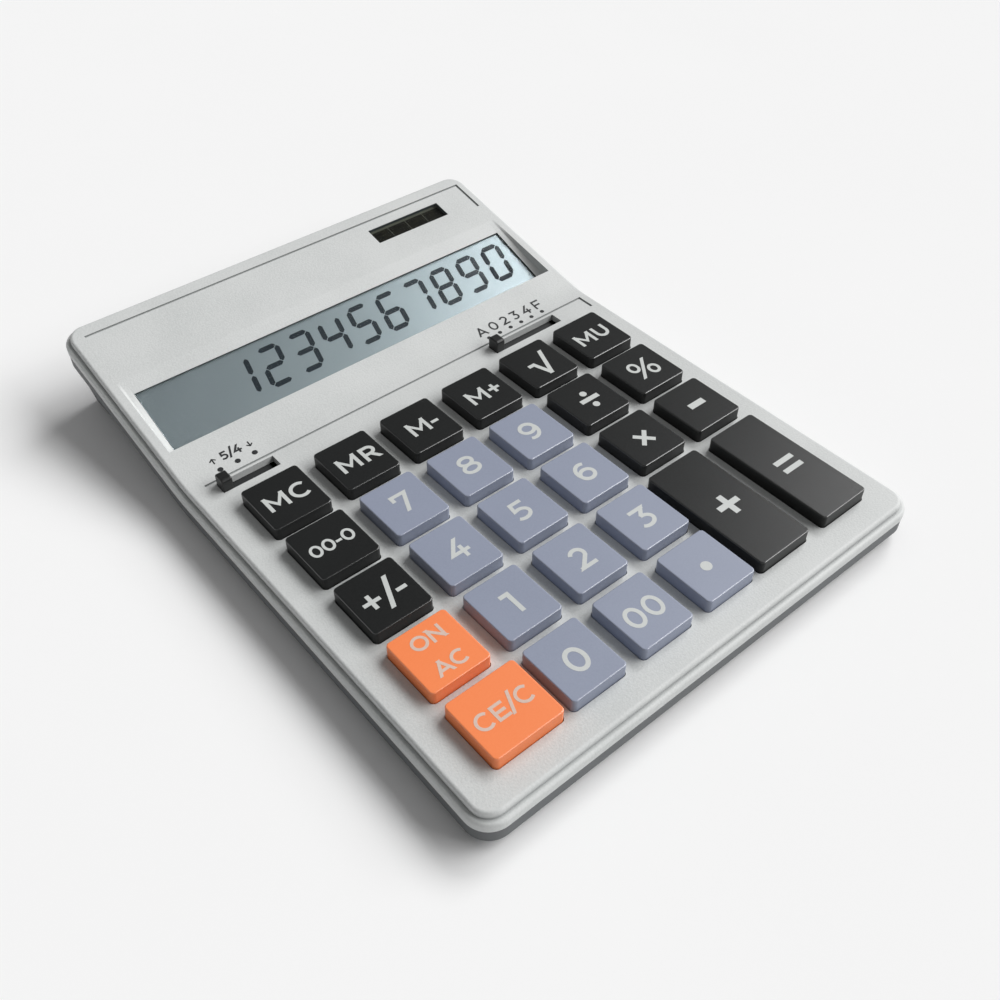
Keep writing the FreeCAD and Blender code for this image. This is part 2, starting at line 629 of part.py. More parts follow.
# Keys: name, column and row of the middle, width, shift off the pitch, whether it is tall
KEYS = [
    ("memory_clear", 0, 0, "left"), ("memory_recall", 1, 0, "number"), ("memory_minus", 2, 0, "number"),
    ("memory_plus", 3, 0, "number"), ("square_root", 4, 0, "operator"), ("mark_up", 5, 0, "last"),
    ("backspace", 0, 1, "left"), ("seven", 1, 1, "number"), ("eight", 2, 1, "number"),
    ("nine", 3, 1, "number"), ("divide", 4, 1, "operator"), ("percent", 5, 1, "last"),
    ("change_sign", 0, 2, "left"), ("four", 1, 2, "number"), ("five", 2, 2, "number"),
    ("six", 3, 2, "number"), ("multiply", 4, 2, "operator"), ("minus", 5, 2, "last"),
    ("on_all_clear", 0, 3, "left"), ("one", 1, 3, "number"), ("two", 2, 3, "number"),
    ("three", 3, 3, "number"), ("plus", 4, 3, "plus"), ("equals", 5, 3, "tall_last"),
    ("clear_entry", 0, 4, "clear"), ("zero", 1, 4, "number"), ("double_zero", 2, 4, "number"),
    ("decimal_point", 3, 4, "number"),
]
KINDS = {
    "left": ("left_key_width", "left_shift", False),
    "number": ("key_width", "number_shift", False),
    "operator": ("key_width", "operator_shift", False),
    "last": ("last_key_width", "last_shift", False),
    "clear": ("clear_key_width", "clear_shift", False),
    "plus": ("plus_key_width", "plus_shift", True),
    "tall_last": ("last_key_width", "last_shift", True),
}
MIDDLE_COLUMN = 2.5


def key_place(column, row, kind):
    """Middle of a key in plan, its length and the places of its stems along it."""
    width, shift, tall = KINDS[kind]
    across = f"(({column} - {MIDDLE_COLUMN}) * key_pitch_across + {shift})"
    along = f"(keypad_rear - {row} * key_pitch_along)"
    if not tall:
        return across, along, width, "key_length", ["0"]
    along = f"({along} - key_pitch_along / 2)"
    stems = ["-key_pitch_along / 2", "key_pitch_along / 2"]
    return across, along, width, "(key_length + key_pitch_along)", stems


def rounded_block(name, half_width, half_length, radius, up, across="0", along="0"):
    """An upright block with round corners, about its own middle."""
    body = new_body(name)
    plan = new_sketch(body, name + "_plan", height=up[0])
    rounded_rectangle(plan, f"-({half_width})", half_width, f"-({half_length})", half_length, radius)
    pad(body, plan, f"({up[1]}) - ({up[0]})")
    place(body, across, along, "0")
    return body


# Keycaps: hollow, with a flange under the plate and a stem on each rubber dome
openings = []
domes = []
hollows = []
pills = []
for key_name, column, row, kind in KEYS:
    across, along, width, length, stems = key_place(column, row, kind)
    half_width, half_length = f"({width} / 2)", f"({length} / 2)"
    body = rounded_block("cap_" + key_name, half_width, half_length, "key_corner",
                         (KEY_FOOT, KEY_TOP), across, along)
    key_top = value(KEY_TOP)
    round_edges(body, "key_edge", lambda spot: abs(spot.z - key_top) < 0.01)
    flange = new_sketch(body, "flange_" + key_name, height=KEY_FOOT)
    rounded_rectangle(flange, f"-({half_width} + flange_width)", f"{half_width} + flange_width",
                      f"-({half_length} + flange_width)", f"{half_length} + flange_width",
                      "key_corner + flange_width")
    pad(body, flange, "flange_thickness")
    hollow = new_sketch(body, "hollow_" + key_name, height=KEY_FOOT)
    rounded_rectangle(hollow, f"-({half_width} - key_wall)", f"{half_width} - key_wall",
                      f"-({half_length} - key_wall)", f"{half_length} - key_wall", "key_corner / 2")
    pocket(body, hollow, f"{KEY_TOP} - key_roof - {KEY_FOOT}", upward=True)
    stem = new_sketch(body, "stem_" + key_name, height="dome_top")
    for index, step in enumerate(stems):
        circle = Part.Circle(Vector(0, value(step), 0), Vector(0, 0, 1), value("stem_radius"))
        sketch_edge = stem.addGeometry(circle, False)
        dimension(stem, "Radius", sketch_edge, text="stem_radius")
        fix_point(stem, sketch_edge, 3, "0", step)
        spot = f"({along} + {step})"
        tag = key_name + "_%d" % index
        domes.append(cone("dome_" + tag, "dome_foot_radius", "dome_top_radius", across, spot,
                          (SHEET_TOP, "dome_top")))
        hollows.append(cone("dome_hollow_" + tag, "dome_foot_radius - dome_skin", "pill_radius", across, spot,
                            (BOARD_TOP, "dome_top - dome_roof")))
        pills.append(cylinder("pill_" + tag, "pill_radius", across, spot,
                              ("dome_top - dome_roof - pill_thickness", "dome_top - dome_roof")))
    pad(body, stem, f"{KEY_TOP} - key_roof - dome_top")
    piece(body, "key_" + key_name)
    openings.append(rounded_block("opening_" + key_name, f"{half_width} + key_play",
                                  f"{half_length} + key_play", "key_corner + key_play",
                                  (f"{PLATE_UNDER} - plate_thickness", KEY_TOP), across, along))

# Places of the screws: the board's screws stand where four keys meet
half_pitch = "key_pitch_across / 2"
BOARD_SCREWS = []
for column_line, row_line in ((-2, 0.5), (2, 0.5), (-2, 2.5), (2, 2.5), (0, 1.5), (0, 3.5)):
    BOARD_SCREWS.append((f"({column_line} * key_pitch_across)",
                         f"(keypad_rear - {row_line} * key_pitch_along)"))
CASE_SCREWS = [
    ("-2 * key_pitch_across", "-front_screw_place"),
    ("2 * key_pitch_across", "-front_screw_place"),
    ("0", "middle_screw_place"),
    ("-rear_screw_across", "rear_screw_place"),
    ("rear_screw_across", "rear_screw_place"),
]


def plate_under_at(along):
    """Underside of the plate over a place behind the crease or ahead of it."""
    if value(along) < value("crease_place"):
        return PLATE_UNDER
    return f"({PLATE_UNDER} + ({along} - crease_place) * tan(tilt_angle))"


def screw(name, across, along, head_foot, shank_top):
    """A pan head screw with a cross recess, its head downward."""
    head_top = f"({head_foot} + screw_head_height)"
    solid = fuse(name + "_solid", [
        cylinder(name + "_head", "screw_head_radius", across, along, (head_foot, head_top)),
        cylinder(name + "_shank", "screw_radius", across, along, (head_foot, f"{shank_top} - screw_radius")),
        cone(name + "_tip", "screw_radius", "screw_radius / 4", across, along,
             (f"{shank_top} - screw_radius", shank_top)),
    ])
    slots = []
    for tag, half_across, half_along in (("a", "cross_length / 2", "cross_width / 2"),
                                         ("b", "cross_width / 2", "cross_length / 2")):
        slots.append(box(name + "_slot_" + tag, (f"{across} - {half_across}", f"{across} + {half_across}"),
                         (f"{along} - {half_along}", f"{along} + {half_along}"),
                         (f"{head_foot} - cross_depth", f"{head_foot} + cross_depth")))
    return cut(name, solid, slots)


# Top case: the raised plate on its rim, hollow below, with a tray for the display
plateau = bent_slab("plateau", "0", "rim_drop + case_wall", "plateau_inset", "plateau_edge", "0")
rim = bent_slab("rim", "rim_drop", "parting_drop", "0", "rim_edge", "rim_drop")
plateau_hollow = bent_slab("plateau_hollow", "plate_thickness", "parting_drop * 2",
                           "plateau_inset + case_wall")
rim_hollow = bent_slab("rim_hollow", "rim_drop + case_wall", "parting_drop * 2", "case_wall")
shell = cut("shell", fuse("shell_solid", [plateau, rim]), [plateau_hollow, rim_hollow])

FRAME_HALF = "(lens_half_width + glass_margin + frame_play + frame_wall)"
FRAME_FRONT = f"({LENS_FRONT} + glass_margin + glass_ledge + frame_play + frame_wall)"
FRAME_REAR = "(lens_rear - glass_margin - frame_play - frame_wall)"
SEAT_HALF = f"({FRAME_HALF} + frame_play)"
TRAY_FRONT = f"({FRAME_FRONT} + frame_ear + frame_play)"
TRAY_REAR = f"({FRAME_REAR} - frame_ear - frame_play)"
tray_top = "plate_thickness / 2"
tray_foot = f"({TRAY_FRONT} * sin(display_tilt) + {TRAY_THICKNESS})"
tray = box("tray", (f"-({SEAT_HALF} + tray_wall)", f"{SEAT_HALF} + tray_wall"),
           (f"recess_rear - {TRAY_FRONT} * cos(display_tilt)", f"recess_rear - {TRAY_REAR} + tray_wall"),
           (f"-{tray_foot}", f"-{tray_top}"), "panel")

upper_bosses = []
boss_holes = []
for index, (across, along) in enumerate(BOARD_SCREWS):
    upper_bosses.append(cylinder("board_boss_%d" % index, "board_boss_radius", across, along,
                                 (BOARD_TOP, f"{PLATE_UNDER} + {OVERLAP}")))
    boss_holes.append(cylinder("board_boss_hole_%d" % index, "screw_radius + screw_play / 2", across, along,
                               (f"{BOARD_TOP} - screw_play", f"{BOARD_TOP} + screw_grip + screw_play")))
for index, (across, along) in enumerate(CASE_SCREWS):
    under = plate_under_at(along)
    upper_bosses.append(cylinder("case_boss_%d" % index, "case_boss_radius", across, along,
                                 ("case_post_split", f"{under} + 2 * {OVERLAP}")))
    boss_holes.append(cylinder("case_boss_hole_%d" % index, "screw_radius + screw_play / 2", across, along,
                               ("case_post_split - screw_play", "case_post_split + screw_grip + screw_play")))

SWITCHES = {
    "rounding": ("rounding_slot_left", "rounding_slot_length", "rounding_travel"),
    "decimal": ("decimal_slot_left", "decimal_slot_length", "decimal_travel"),
}
RIB_FRONT = "(slot_front - bed_overlap)"
RIB_REAR = "(slot_front + slot_width + bed_overlap)"
ribs = []
slots = []
beds = []
for switch, (left, length, travel) in SWITCHES.items():
    bed_left = f"({left} - bed_overlap)"
    bed_right = f"({left} + {length} - bed_short)"
    for tag, front in (("front", f"({RIB_FRONT} - rib_thickness)"), ("rear", RIB_REAR)):
        ribs.append(box(f"{switch}_rib_{tag}", (bed_left, f"{left} + {length} + bed_overlap"),
                        (front, f"{front} + rib_thickness"),
                        (f"{BED_FOOT} - shoe_thickness / 2", f"{PLATE_UNDER} + {OVERLAP}")))
    slots.append(box(switch + "_slot", (left, f"{left} + {length}"),
                     ("slot_front", "slot_front + slot_width"),
                     (f"{PLATE_UNDER} - plate_thickness", KEY_TOP)))
    bed = box(switch + "_bed_strip", (bed_left, bed_right),
              (f"{RIB_FRONT} + knob_play", f"{RIB_REAR} - knob_play"), (BED_FOOT, BED_TOP))
    slit = box(switch + "_slit", (f"{left} + knob_play", f"{left} + knob_width + {travel}"),
               ("slot_front + knob_play", "slot_front + knob_play + slit_width"),
               (f"{BED_FOOT} - bed_thickness", f"{BED_TOP} + bed_thickness"))
    beds.append(cut(switch + "_bed", bed, [slit]))

SOLAR_UNDER = "(plate_thickness * cos(tilt_angle))"
SOLAR_X = ("solar_left", "(solar_left + solar_width)")
SOLAR_Y = ("solar_front", "(solar_front + solar_length)")
holder_x = ("(solar_left - solar_margin - lens_play)",
            "(solar_left + solar_width + solar_margin + lens_play)")
holder_y = ("(solar_front - solar_margin - lens_play)",
            "(solar_front + solar_length + solar_margin + lens_play)")
holder = cut("solar_holder", box("solar_holder_block",
             (f"{holder_x[0]} - solar_wall", f"{holder_x[1]} + solar_wall"),
             (f"{holder_y[0]} - solar_wall", f"{holder_y[1]} + solar_wall"),
             (f"-({SOLAR_UNDER} + 2 * solar_thickness)", f"-{SOLAR_UNDER} + {OVERLAP}"), "panel"),
             [box("solar_holder_inside", holder_x, holder_y,
                  (f"-({SOLAR_UNDER} + 4 * solar_thickness)", f"-{SOLAR_UNDER}"), "panel")])

# The recess is a wedge whose floor slopes down to its front edge. Each side falls steeply at first,
# then flattens out towards the display cover; at the rear edge all of it meets the panel.
RECESS_FOOT = "(lens_half_width + lens_play + recess_foot)"
recess = new_body("display_recess")
sections = []
for tag, along, depth in (("front", "recess_front", RECESS_DEPTH), ("rear", "recess_rear", "0")):
    section = new_sketch(recess, "recess_" + tag, "XZ_Plane", f"-{along}")
    side = [("recess_half_width", "plate_thickness"), ("recess_half_width", "0"),
            ("recess_half_width - recess_step", f"-recess_step_depth * {depth}"), (RECESS_FOOT, f"-{depth}")]
    outline(section, [(f"-({across})", up) for across, up in side] + side[::-1])
    sections.append(section)
recess_space = recess.newObject("PartDesign::AdditiveLoft", "recess_space")
recess_space.Profile = sections[0]
recess_space.Sections = sections[1:]
recess_space.Ruled = True
place(recess, "0", "0", "0", "panel")

LENS_X = ("-lens_half_width", "lens_half_width")
LENS_Y = (f"-{LENS_FRONT}", "-lens_rear")
window = box("display_window", ("-(lens_half_width + lens_play)", "lens_half_width + lens_play"),
             (f"-({LENS_FRONT} + lens_play)", "-(lens_rear - lens_play)"),
             (f"-2 * {TRAY_THICKNESS}", "lens_thickness"), "window")
seat = box("display_seat", (f"-{SEAT_HALF}", SEAT_HALF), (f"-({TRAY_FRONT} * 1.2)", f"-{TRAY_REAR}"),
           (f"-({TRAY_FRONT} / 2)", f"-{TRAY_THICKNESS}"), "window")
solar_window = box("solar_window", (f"{SOLAR_X[0]} - lens_play", f"{SOLAR_X[1]} + lens_play"),
                   (f"{SOLAR_Y[0]} - lens_play", f"{SOLAR_Y[1]} + lens_play"),
                   ("-2 * plate_thickness", "plate_thickness"), "panel")

half_line, half_leg = "(groove_width / 2)", "(leg_width / 2)"
groove_up = ("-groove_depth", "groove_depth")
lower_up = ("plate_height - groove_depth", "plate_height + groove_depth")
grooves = [
    box("lower_line", ("-lower_groove_left", "lower_groove_right"),
        (f"lower_groove_place - {half_line}", f"lower_groove_place + {half_line}"), lower_up),
    box("lower_leg_line", (f"lower_groove_right - {half_leg}", f"lower_groove_right + {half_leg}"),
        ("lower_groove_place - lower_leg", f"lower_groove_place + {half_line}"), lower_up),
    box("upper_line", ("-upper_groove_left", "upper_groove_right"),
        (f"upper_groove_place - {half_line}", f"upper_groove_place + {half_line}"), groove_up, "panel"),
    box("upper_leg_line", (f"upper_groove_right - {half_leg}", f"upper_groove_right + {half_leg}"),
        ("upper_groove_place - upper_leg", f"upper_groove_place + {half_line}"), groove_up, "panel"),
]

# Stakes of the tray that hold the display frame, with their melted heads
FRAME_BACK = f"({TRAY_THICKNESS} + 2 * glass_thickness + polariser_thickness + frame_plate)"
STAKES = []
for side in ("-stake_across", "stake_across"):
    STAKES.append((side, f"-({FRAME_FRONT} + frame_ear / 2)"))
    STAKES.append((side, f"-({FRAME_REAR} - frame_ear / 2)"))
stakes = []
for index, (across, along) in enumerate(STAKES):
    stakes.append(cylinder("stake_%d" % index, "stake_radius", across, along,
                           (f"-({FRAME_BACK} + stake_head_height)", f"-({TRAY_THICKNESS} - {OVERLAP})"),
                           "window"))
    stakes.append(cylinder("stake_head_%d" % index, "stake_head_radius", across, along,
                           (f"-({FRAME_BACK} + stake_head_height)", f"-{FRAME_BACK}"), "window"))

top_solid = fuse("top_solid", [shell, tray] + upper_bosses + ribs + [holder])
top_open = cut("top_open", top_solid, [seat, window, recess, solar_window] + grooves)
top_keyed = cut("top_keyed", top_open, openings + slots + boss_holes)
top_case = fuse("top_case_solid", [top_keyed] + stakes)
piece(top_case, "top_case")

# Bottom case: an upright band under the joint, a tongue inside the top case and a sloping tub
TONGUE_OUT = "(case_wall + tongue_play)"
TONGUE_IN = f"({TONGUE_OUT} + tongue_width)"
band = bent_slab("band", "parting_drop + parting_gap", BAND_FOOT, "band_inset", "band_edge", BAND_FOOT)
shelf = bent_slab("shelf", "parting_drop", f"{BAND_FOOT} - case_wall / 2", "parting_depth")
tongue = bent_slab("tongue", "rim_drop + case_wall + tongue_play", f"{BAND_FOOT} - case_wall / 2", TONGUE_OUT)
base = tub("base", "base_height", "tub_inset", f"{BAND_FOOT} - case_wall / 2", "base_edge")
band_hollow = bent_slab("band_hollow", "0", f"{BAND_FOOT} - case_wall", TONGUE_IN)
base_hollow = tub("base_hollow", FLOOR_TOP, "tub_inset + case_wall", f"{BAND_FOOT} - case_wall * 1.2")

COVER_X = ("(cell_across - cover_left)", "(cell_across + cover_right)")
COVER_MIDDLE = "(cell_across + (cover_right - cover_left) / 2)"
COVER_HALF = "((cover_left + cover_right) / 2)"
WELL_INNER = "(cell_radius + well_play)"
CELL_FOOT = FLOOR_TOP
CELL_TOP = f"({CELL_FOOT} + cell_height)"
SHELF_TOP = f"({FLOOR_TOP} + cover_shelf)"
cover_pad = rounded_block("cover_pad", f"{COVER_HALF} + cover_play + case_wall",
                          "cover_half_length + cover_play + case_wall", "cover_corner + case_wall",
                          (f"{FLOOR_TOP} - {OVERLAP}", SHELF_TOP), COVER_MIDDLE, "cell_place")
well = cylinder("well", f"{WELL_INNER} + well_wall", "cell_across", "cell_place", (FLOOR_TOP, CELL_TOP))
cover_boss = cylinder("cover_boss", "case_post_radius", "cell_across + cover_screw_place", "cell_place",
                      (FLOOR_TOP, f"{FLOOR_TOP} + screw_grip + 2 * screw_head_height"))
lower_posts = []
lower_holes = []
for index, (across, along) in enumerate(CASE_SCREWS):
    lower_posts.append(cylinder("case_post_%d" % index, "case_post_radius", across, along,
                                (f"{FLOOR_TOP} - {OVERLAP}", "case_post_split")))
    lower_holes.append(cylinder("case_post_hole_%d" % index, "screw_radius + screw_play", across, along,
                                ("0", "case_post_split + screw_play")))
    lower_holes.append(cylinder("case_post_sink_%d" % index, "screw_head_radius + screw_play", across, along,
                                ("0", "base_height + screw_sink + screw_head_height")))
RESTS = []
for side in ("-key_pitch_across", "key_pitch_across"):
    for row_line in ("0.5", "2.5"):
        RESTS.append((side, f"(keypad_rear - {row_line} * key_pitch_along)"))
rests = [cylinder("board_rest_%d" % index, "board_boss_radius", across, along,
                  (f"{FLOOR_TOP} - {OVERLAP}", f"board_height - flange_gap"))
         for index, (across, along) in enumerate(RESTS)]
FEET = []
for side in ("-foot_across", "foot_across"):
    for end in ("-foot_front", "foot_rear"):
        FEET.append((side, end))
foot_seats = [cylinder("foot_seat_%d" % index, "foot_radius + foot_play", across, along,
                       ("0", "base_height + foot_seat")) for index, (across, along) in enumerate(FEET)]
cover_seat = rounded_block("cover_seat", f"{COVER_HALF} + cover_play", "cover_half_length + cover_play",
                           "cover_corner", ("0", CELL_FOOT), COVER_MIDDLE, "cell_place")
cell_space = cylinder("cell_space", WELL_INNER, "cell_across", "cell_place",
                      ("0", f"{CELL_TOP} + cell_height"))
cover_screw_hole = cylinder("cover_screw_hole", "screw_radius + screw_play / 2",
                            "cell_across + cover_screw_place", "cell_place",
                            ("0", f"{FLOOR_TOP} + screw_grip + screw_play"))
bottom_solid = fuse("bottom_solid", [band, shelf, tongue, base])
bottom_shell = cut("bottom_shell", bottom_solid, [band_hollow, base_hollow])
bottom_fitted = fuse("bottom_fitted", [bottom_shell, cover_pad, well, cover_boss] + lower_posts + rests)
bottom_case = cut("bottom_case_solid", bottom_fitted,
                  lower_holes + foot_seats + [cover_seat, cell_space, cover_screw_hole])
piece(bottom_case, "bottom_case")
feet = [cylinder("foot_%d" % index, "foot_radius", across, along, ("0", "base_height + foot_seat"))
        for index, (across, along) in enumerate(FEET)]
piece(group("feet", feet), "rubber_feet")

# Display: clear cover, two films, two glasses and the frame behind them
FILM_UNDER = TRAY_THICKNESS
FRONT_GLASS_UNDER = f"({FILM_UNDER} + glass_thickness)"
REAR_GLASS_UNDER = f"({FRONT_GLASS_UNDER} + glass_thickness)"
REFLECTOR_UNDER = f"({REAR_GLASS_UNDER} + polariser_thickness)"
GLASS_X = ("-(lens_half_width + glass_margin)", "lens_half_width + glass_margin")
GLASS_REAR = "-(lens_rear - glass_margin)"
piece(box("cover_glass", LENS_X, LENS_Y, ("-lens_thickness", "0"), "window"), "display_lens")
piece(box("front_film", LENS_X, LENS_Y, (f"-{FILM_UNDER}", "-lens_thickness"), "window"),
      "lcd_front_polariser")
piece(box("front_glass", GLASS_X, (f"-({LENS_FRONT} + glass_margin)", GLASS_REAR),
          (f"-{FRONT_GLASS_UNDER}", f"-{FILM_UNDER}"), "window"), "lcd_front_glass")
piece(box("rear_glass", GLASS_X, (f"-({LENS_FRONT} + glass_margin + glass_ledge)", GLASS_REAR),
          (f"-{REAR_GLASS_UNDER}", f"-{FRONT_GLASS_UNDER}"), "window"), "lcd_rear_glass")
piece(box("rear_film", LENS_X, LENS_Y, (f"-{REFLECTOR_UNDER}", f"-{REAR_GLASS_UNDER}"), "window"),
      "lcd_reflector")

glass_room = box("glass_room", (f"-({FRAME_HALF} - frame_wall)", f"{FRAME_HALF} - frame_wall"),
                 (f"-({FRAME_FRONT} - frame_wall)", f"-({FRAME_REAR} + frame_wall)"),
                 (f"-{REFLECTOR_UNDER}", "0"), "window")
frame_block = box("frame_block", (f"-{FRAME_HALF}", FRAME_HALF), (f"-{FRAME_FRONT}", f"-{FRAME_REAR}"),
                  (f"-{FRAME_BACK}", f"-{TRAY_THICKNESS}"), "window")
ribbon_gap = box("ribbon_gap",
                 ("-(ribbon_half_width + 2 * frame_wall)", "ribbon_half_width + 2 * frame_wall"),
                 (f"-({FRAME_FRONT} + frame_wall)", f"-({FRAME_FRONT} - 2 * frame_wall)"),
                 (f"-{FRONT_GLASS_UNDER}", "0"), "window")
ears = []
ear_holes = []
for index, (across, along) in enumerate(STAKES):
    ears.append(box("ear_%d" % index, (f"{across} - ear_half_width", f"{across} + ear_half_width"),
                    (f"{along} - frame_ear / 2 - frame_play", f"{along} + frame_ear / 2 + frame_play")
                    if index % 2 else (f"{along} - frame_ear / 2", f"{along} + frame_ear / 2 + frame_play"),
                    (f"-{FRAME_BACK}", f"-({FRAME_BACK} - frame_plate)"), "window"))
    ear_holes.append(cylinder("ear_hole_%d" % index, "stake_radius + frame_play", across, along,
                              (f"-({FRAME_BACK} + frame_plate)", f"-({FRAME_BACK} - 2 * frame_plate)"),
                              "window"))
lcd_frame = cut("lcd_frame_solid", fuse("lcd_frame_block", [frame_block] + ears),
                [glass_room, ribbon_gap] + ear_holes)
piece(lcd_frame, "lcd_frame")

# Flat ribbon: bonded to the ledge of the rear glass, over the frame's edge and down to the board
ribbon = new_body("ribbon_film")
ribbon_side = new_sketch(ribbon, "ribbon_side", "YZ_Plane")
ledge_up = f"-{FRONT_GLASS_UNDER}"
rear_end = f"-({LENS_FRONT} + glass_margin + frame_play)"
front_end = f"-({FRAME_FRONT} + frame_wall)"
landing = f"(board_rear - ribbon_landing)"
low_line = [in_case("window", rear_end, ledge_up), in_case("window", front_end, ledge_up),
            ("board_rear + ribbon_thickness", f"{BOARD_TOP} + ribbon_thickness"),
            ("board_rear - ribbon_thickness", BOARD_TOP), (landing, BOARD_TOP)]
high_up = f"({ledge_up} + ribbon_thickness)"
high_line = [(landing, f"{BOARD_TOP} + ribbon_thickness"),
             ("board_rear - ribbon_thickness", f"{BOARD_TOP} + ribbon_thickness"),
             ("board_rear + ribbon_thickness", f"{BOARD_TOP} + 2 * ribbon_thickness"),
             in_case("window", front_end, high_up), in_case("window", rear_end, high_up)]
outline(ribbon_side, low_line + high_line)
pad(ribbon, ribbon_side, "2 * ribbon_half_width", both_ways=True)
piece(ribbon, "lcd_ribbon")

# Solar cell under its own clear window
CELL_BACK = f"({SOLAR_UNDER} + solar_thickness)"
piece(box("solar_cover", SOLAR_X, SOLAR_Y, (f"-{SOLAR_UNDER}", "0"), "panel"), "solar_lens")
piece(box("solar_plate", (f"{SOLAR_X[0]} - solar_margin", f"{SOLAR_X[1]} + solar_margin"),
          (f"{SOLAR_Y[0]} - solar_margin", f"{SOLAR_Y[1]} + solar_margin"),
          (f"-{CELL_BACK}", f"-{SOLAR_UNDER}"), "panel"), "solar_cell")

# Circuit board with its holes, and what is soldered to it
board = rounded_block("board_blank", "board_half_width", "(board_front + board_rear) / 2", "board_corner",
                      ("board_height", BOARD_TOP), "0", "(board_rear - board_front) / 2")
through = ("board_height - board_thickness", f"{BOARD_TOP} + board_thickness")
board_holes = [cylinder("board_hole_%d" % index, "screw_radius + screw_play", across, along, through)
               for index, (across, along) in enumerate(BOARD_SCREWS)]
board_holes.append(cylinder("board_post_hole", "case_post_radius + case_post_play", "0", "middle_screw_place",
                            through))
piece(cut("board_drilled", board, board_holes), "main_board")

drop_ball = document.addObject("Part::Sphere", "drop_ball")
drop_radius = "((chip_radius * chip_radius + chip_rise * chip_rise) / (2 * chip_rise))"
bind(drop_ball, "Radius", drop_radius)
place(drop_ball, "chip_across", "chip_place", f"{BOARD_TOP} + chip_rise - {drop_radius}")
drop = document.addObject("Part::Common", "resin_drop")
drop.Base = drop_ball
drop.Tool = cylinder("drop_disc", "chip_radius", "chip_across", "chip_place",
                     (BOARD_TOP, f"{BOARD_TOP} + 2 * chip_rise"))
piece(drop, "chip_cover")

can = new_body("capacitor_can")
can_side = new_sketch(can, "can_side", "YZ_Plane")
can_circle = can_side.addGeometry(Part.Circle(Vector(0, 1, 0), Vector(0, 0, 1), value("can_radius")), False)
dimension(can_side, "Radius", can_circle, text="can_radius")
fix_point(can_side, can_circle, 3, "0", f"{BOARD_TOP} + can_radius")
pad(can, can_side, "can_length")
place(can, "can_across", "can_place", "0")
pins = []
for tag, side in (("left", "-1"), ("right", "1")):
    pin_y = f"(can_place + {side} * can_radius / 2)"
    pins.append(box("pin_%s" % tag, ("can_across - can_radius / 2", "can_across"),
                    (f"{pin_y} - cross_width / 2", f"{pin_y} + cross_width / 2"),
                    (f"{BOARD_TOP}", f"{BOARD_TOP} + can_radius")))
piece(fuse("capacitor_solid", [can] + pins), "capacitor")

# Rubber sheet with a dome under each stem, and the carbon pills in the domes
sheet_front = "(board_front - sheet_margin)"
membrane = rounded_block("membrane_sheet", "board_half_width - sheet_margin",
                         f"({sheet_front} + sheet_rear) / 2",
                         "board_corner", (BOARD_TOP, SHEET_TOP), "0", f"(sheet_rear - {sheet_front}) / 2")
boss_gaps = [cylinder("boss_gap_%d" % index, "board_boss_radius + board_boss_play", across, along,
                      (f"{BOARD_TOP} - sheet_thickness", "dome_top"))
             for index, (across, along) in enumerate(BOARD_SCREWS)]
piece(cut("membrane_solid", fuse("membrane_domes", [membrane] + domes), hollows + boss_gaps), "key_membrane")
piece(group("pills", pills), "carbon_pills")

# Screws
board_screws = [screw("board_screw_%d" % index, across, along, "board_height - screw_head_height",
                      f"{BOARD_TOP} + screw_grip") for index, (across, along) in enumerate(BOARD_SCREWS)]
piece(group("board_screw_set", board_screws), "board_screws")
case_screws = [screw("case_screw_%d" % index, across, along, "base_height + screw_sink",
                     "case_post_split + screw_grip") for index, (across, along) in enumerate(CASE_SCREWS)]
piece(group("case_screw_set", case_screws), "case_screws")

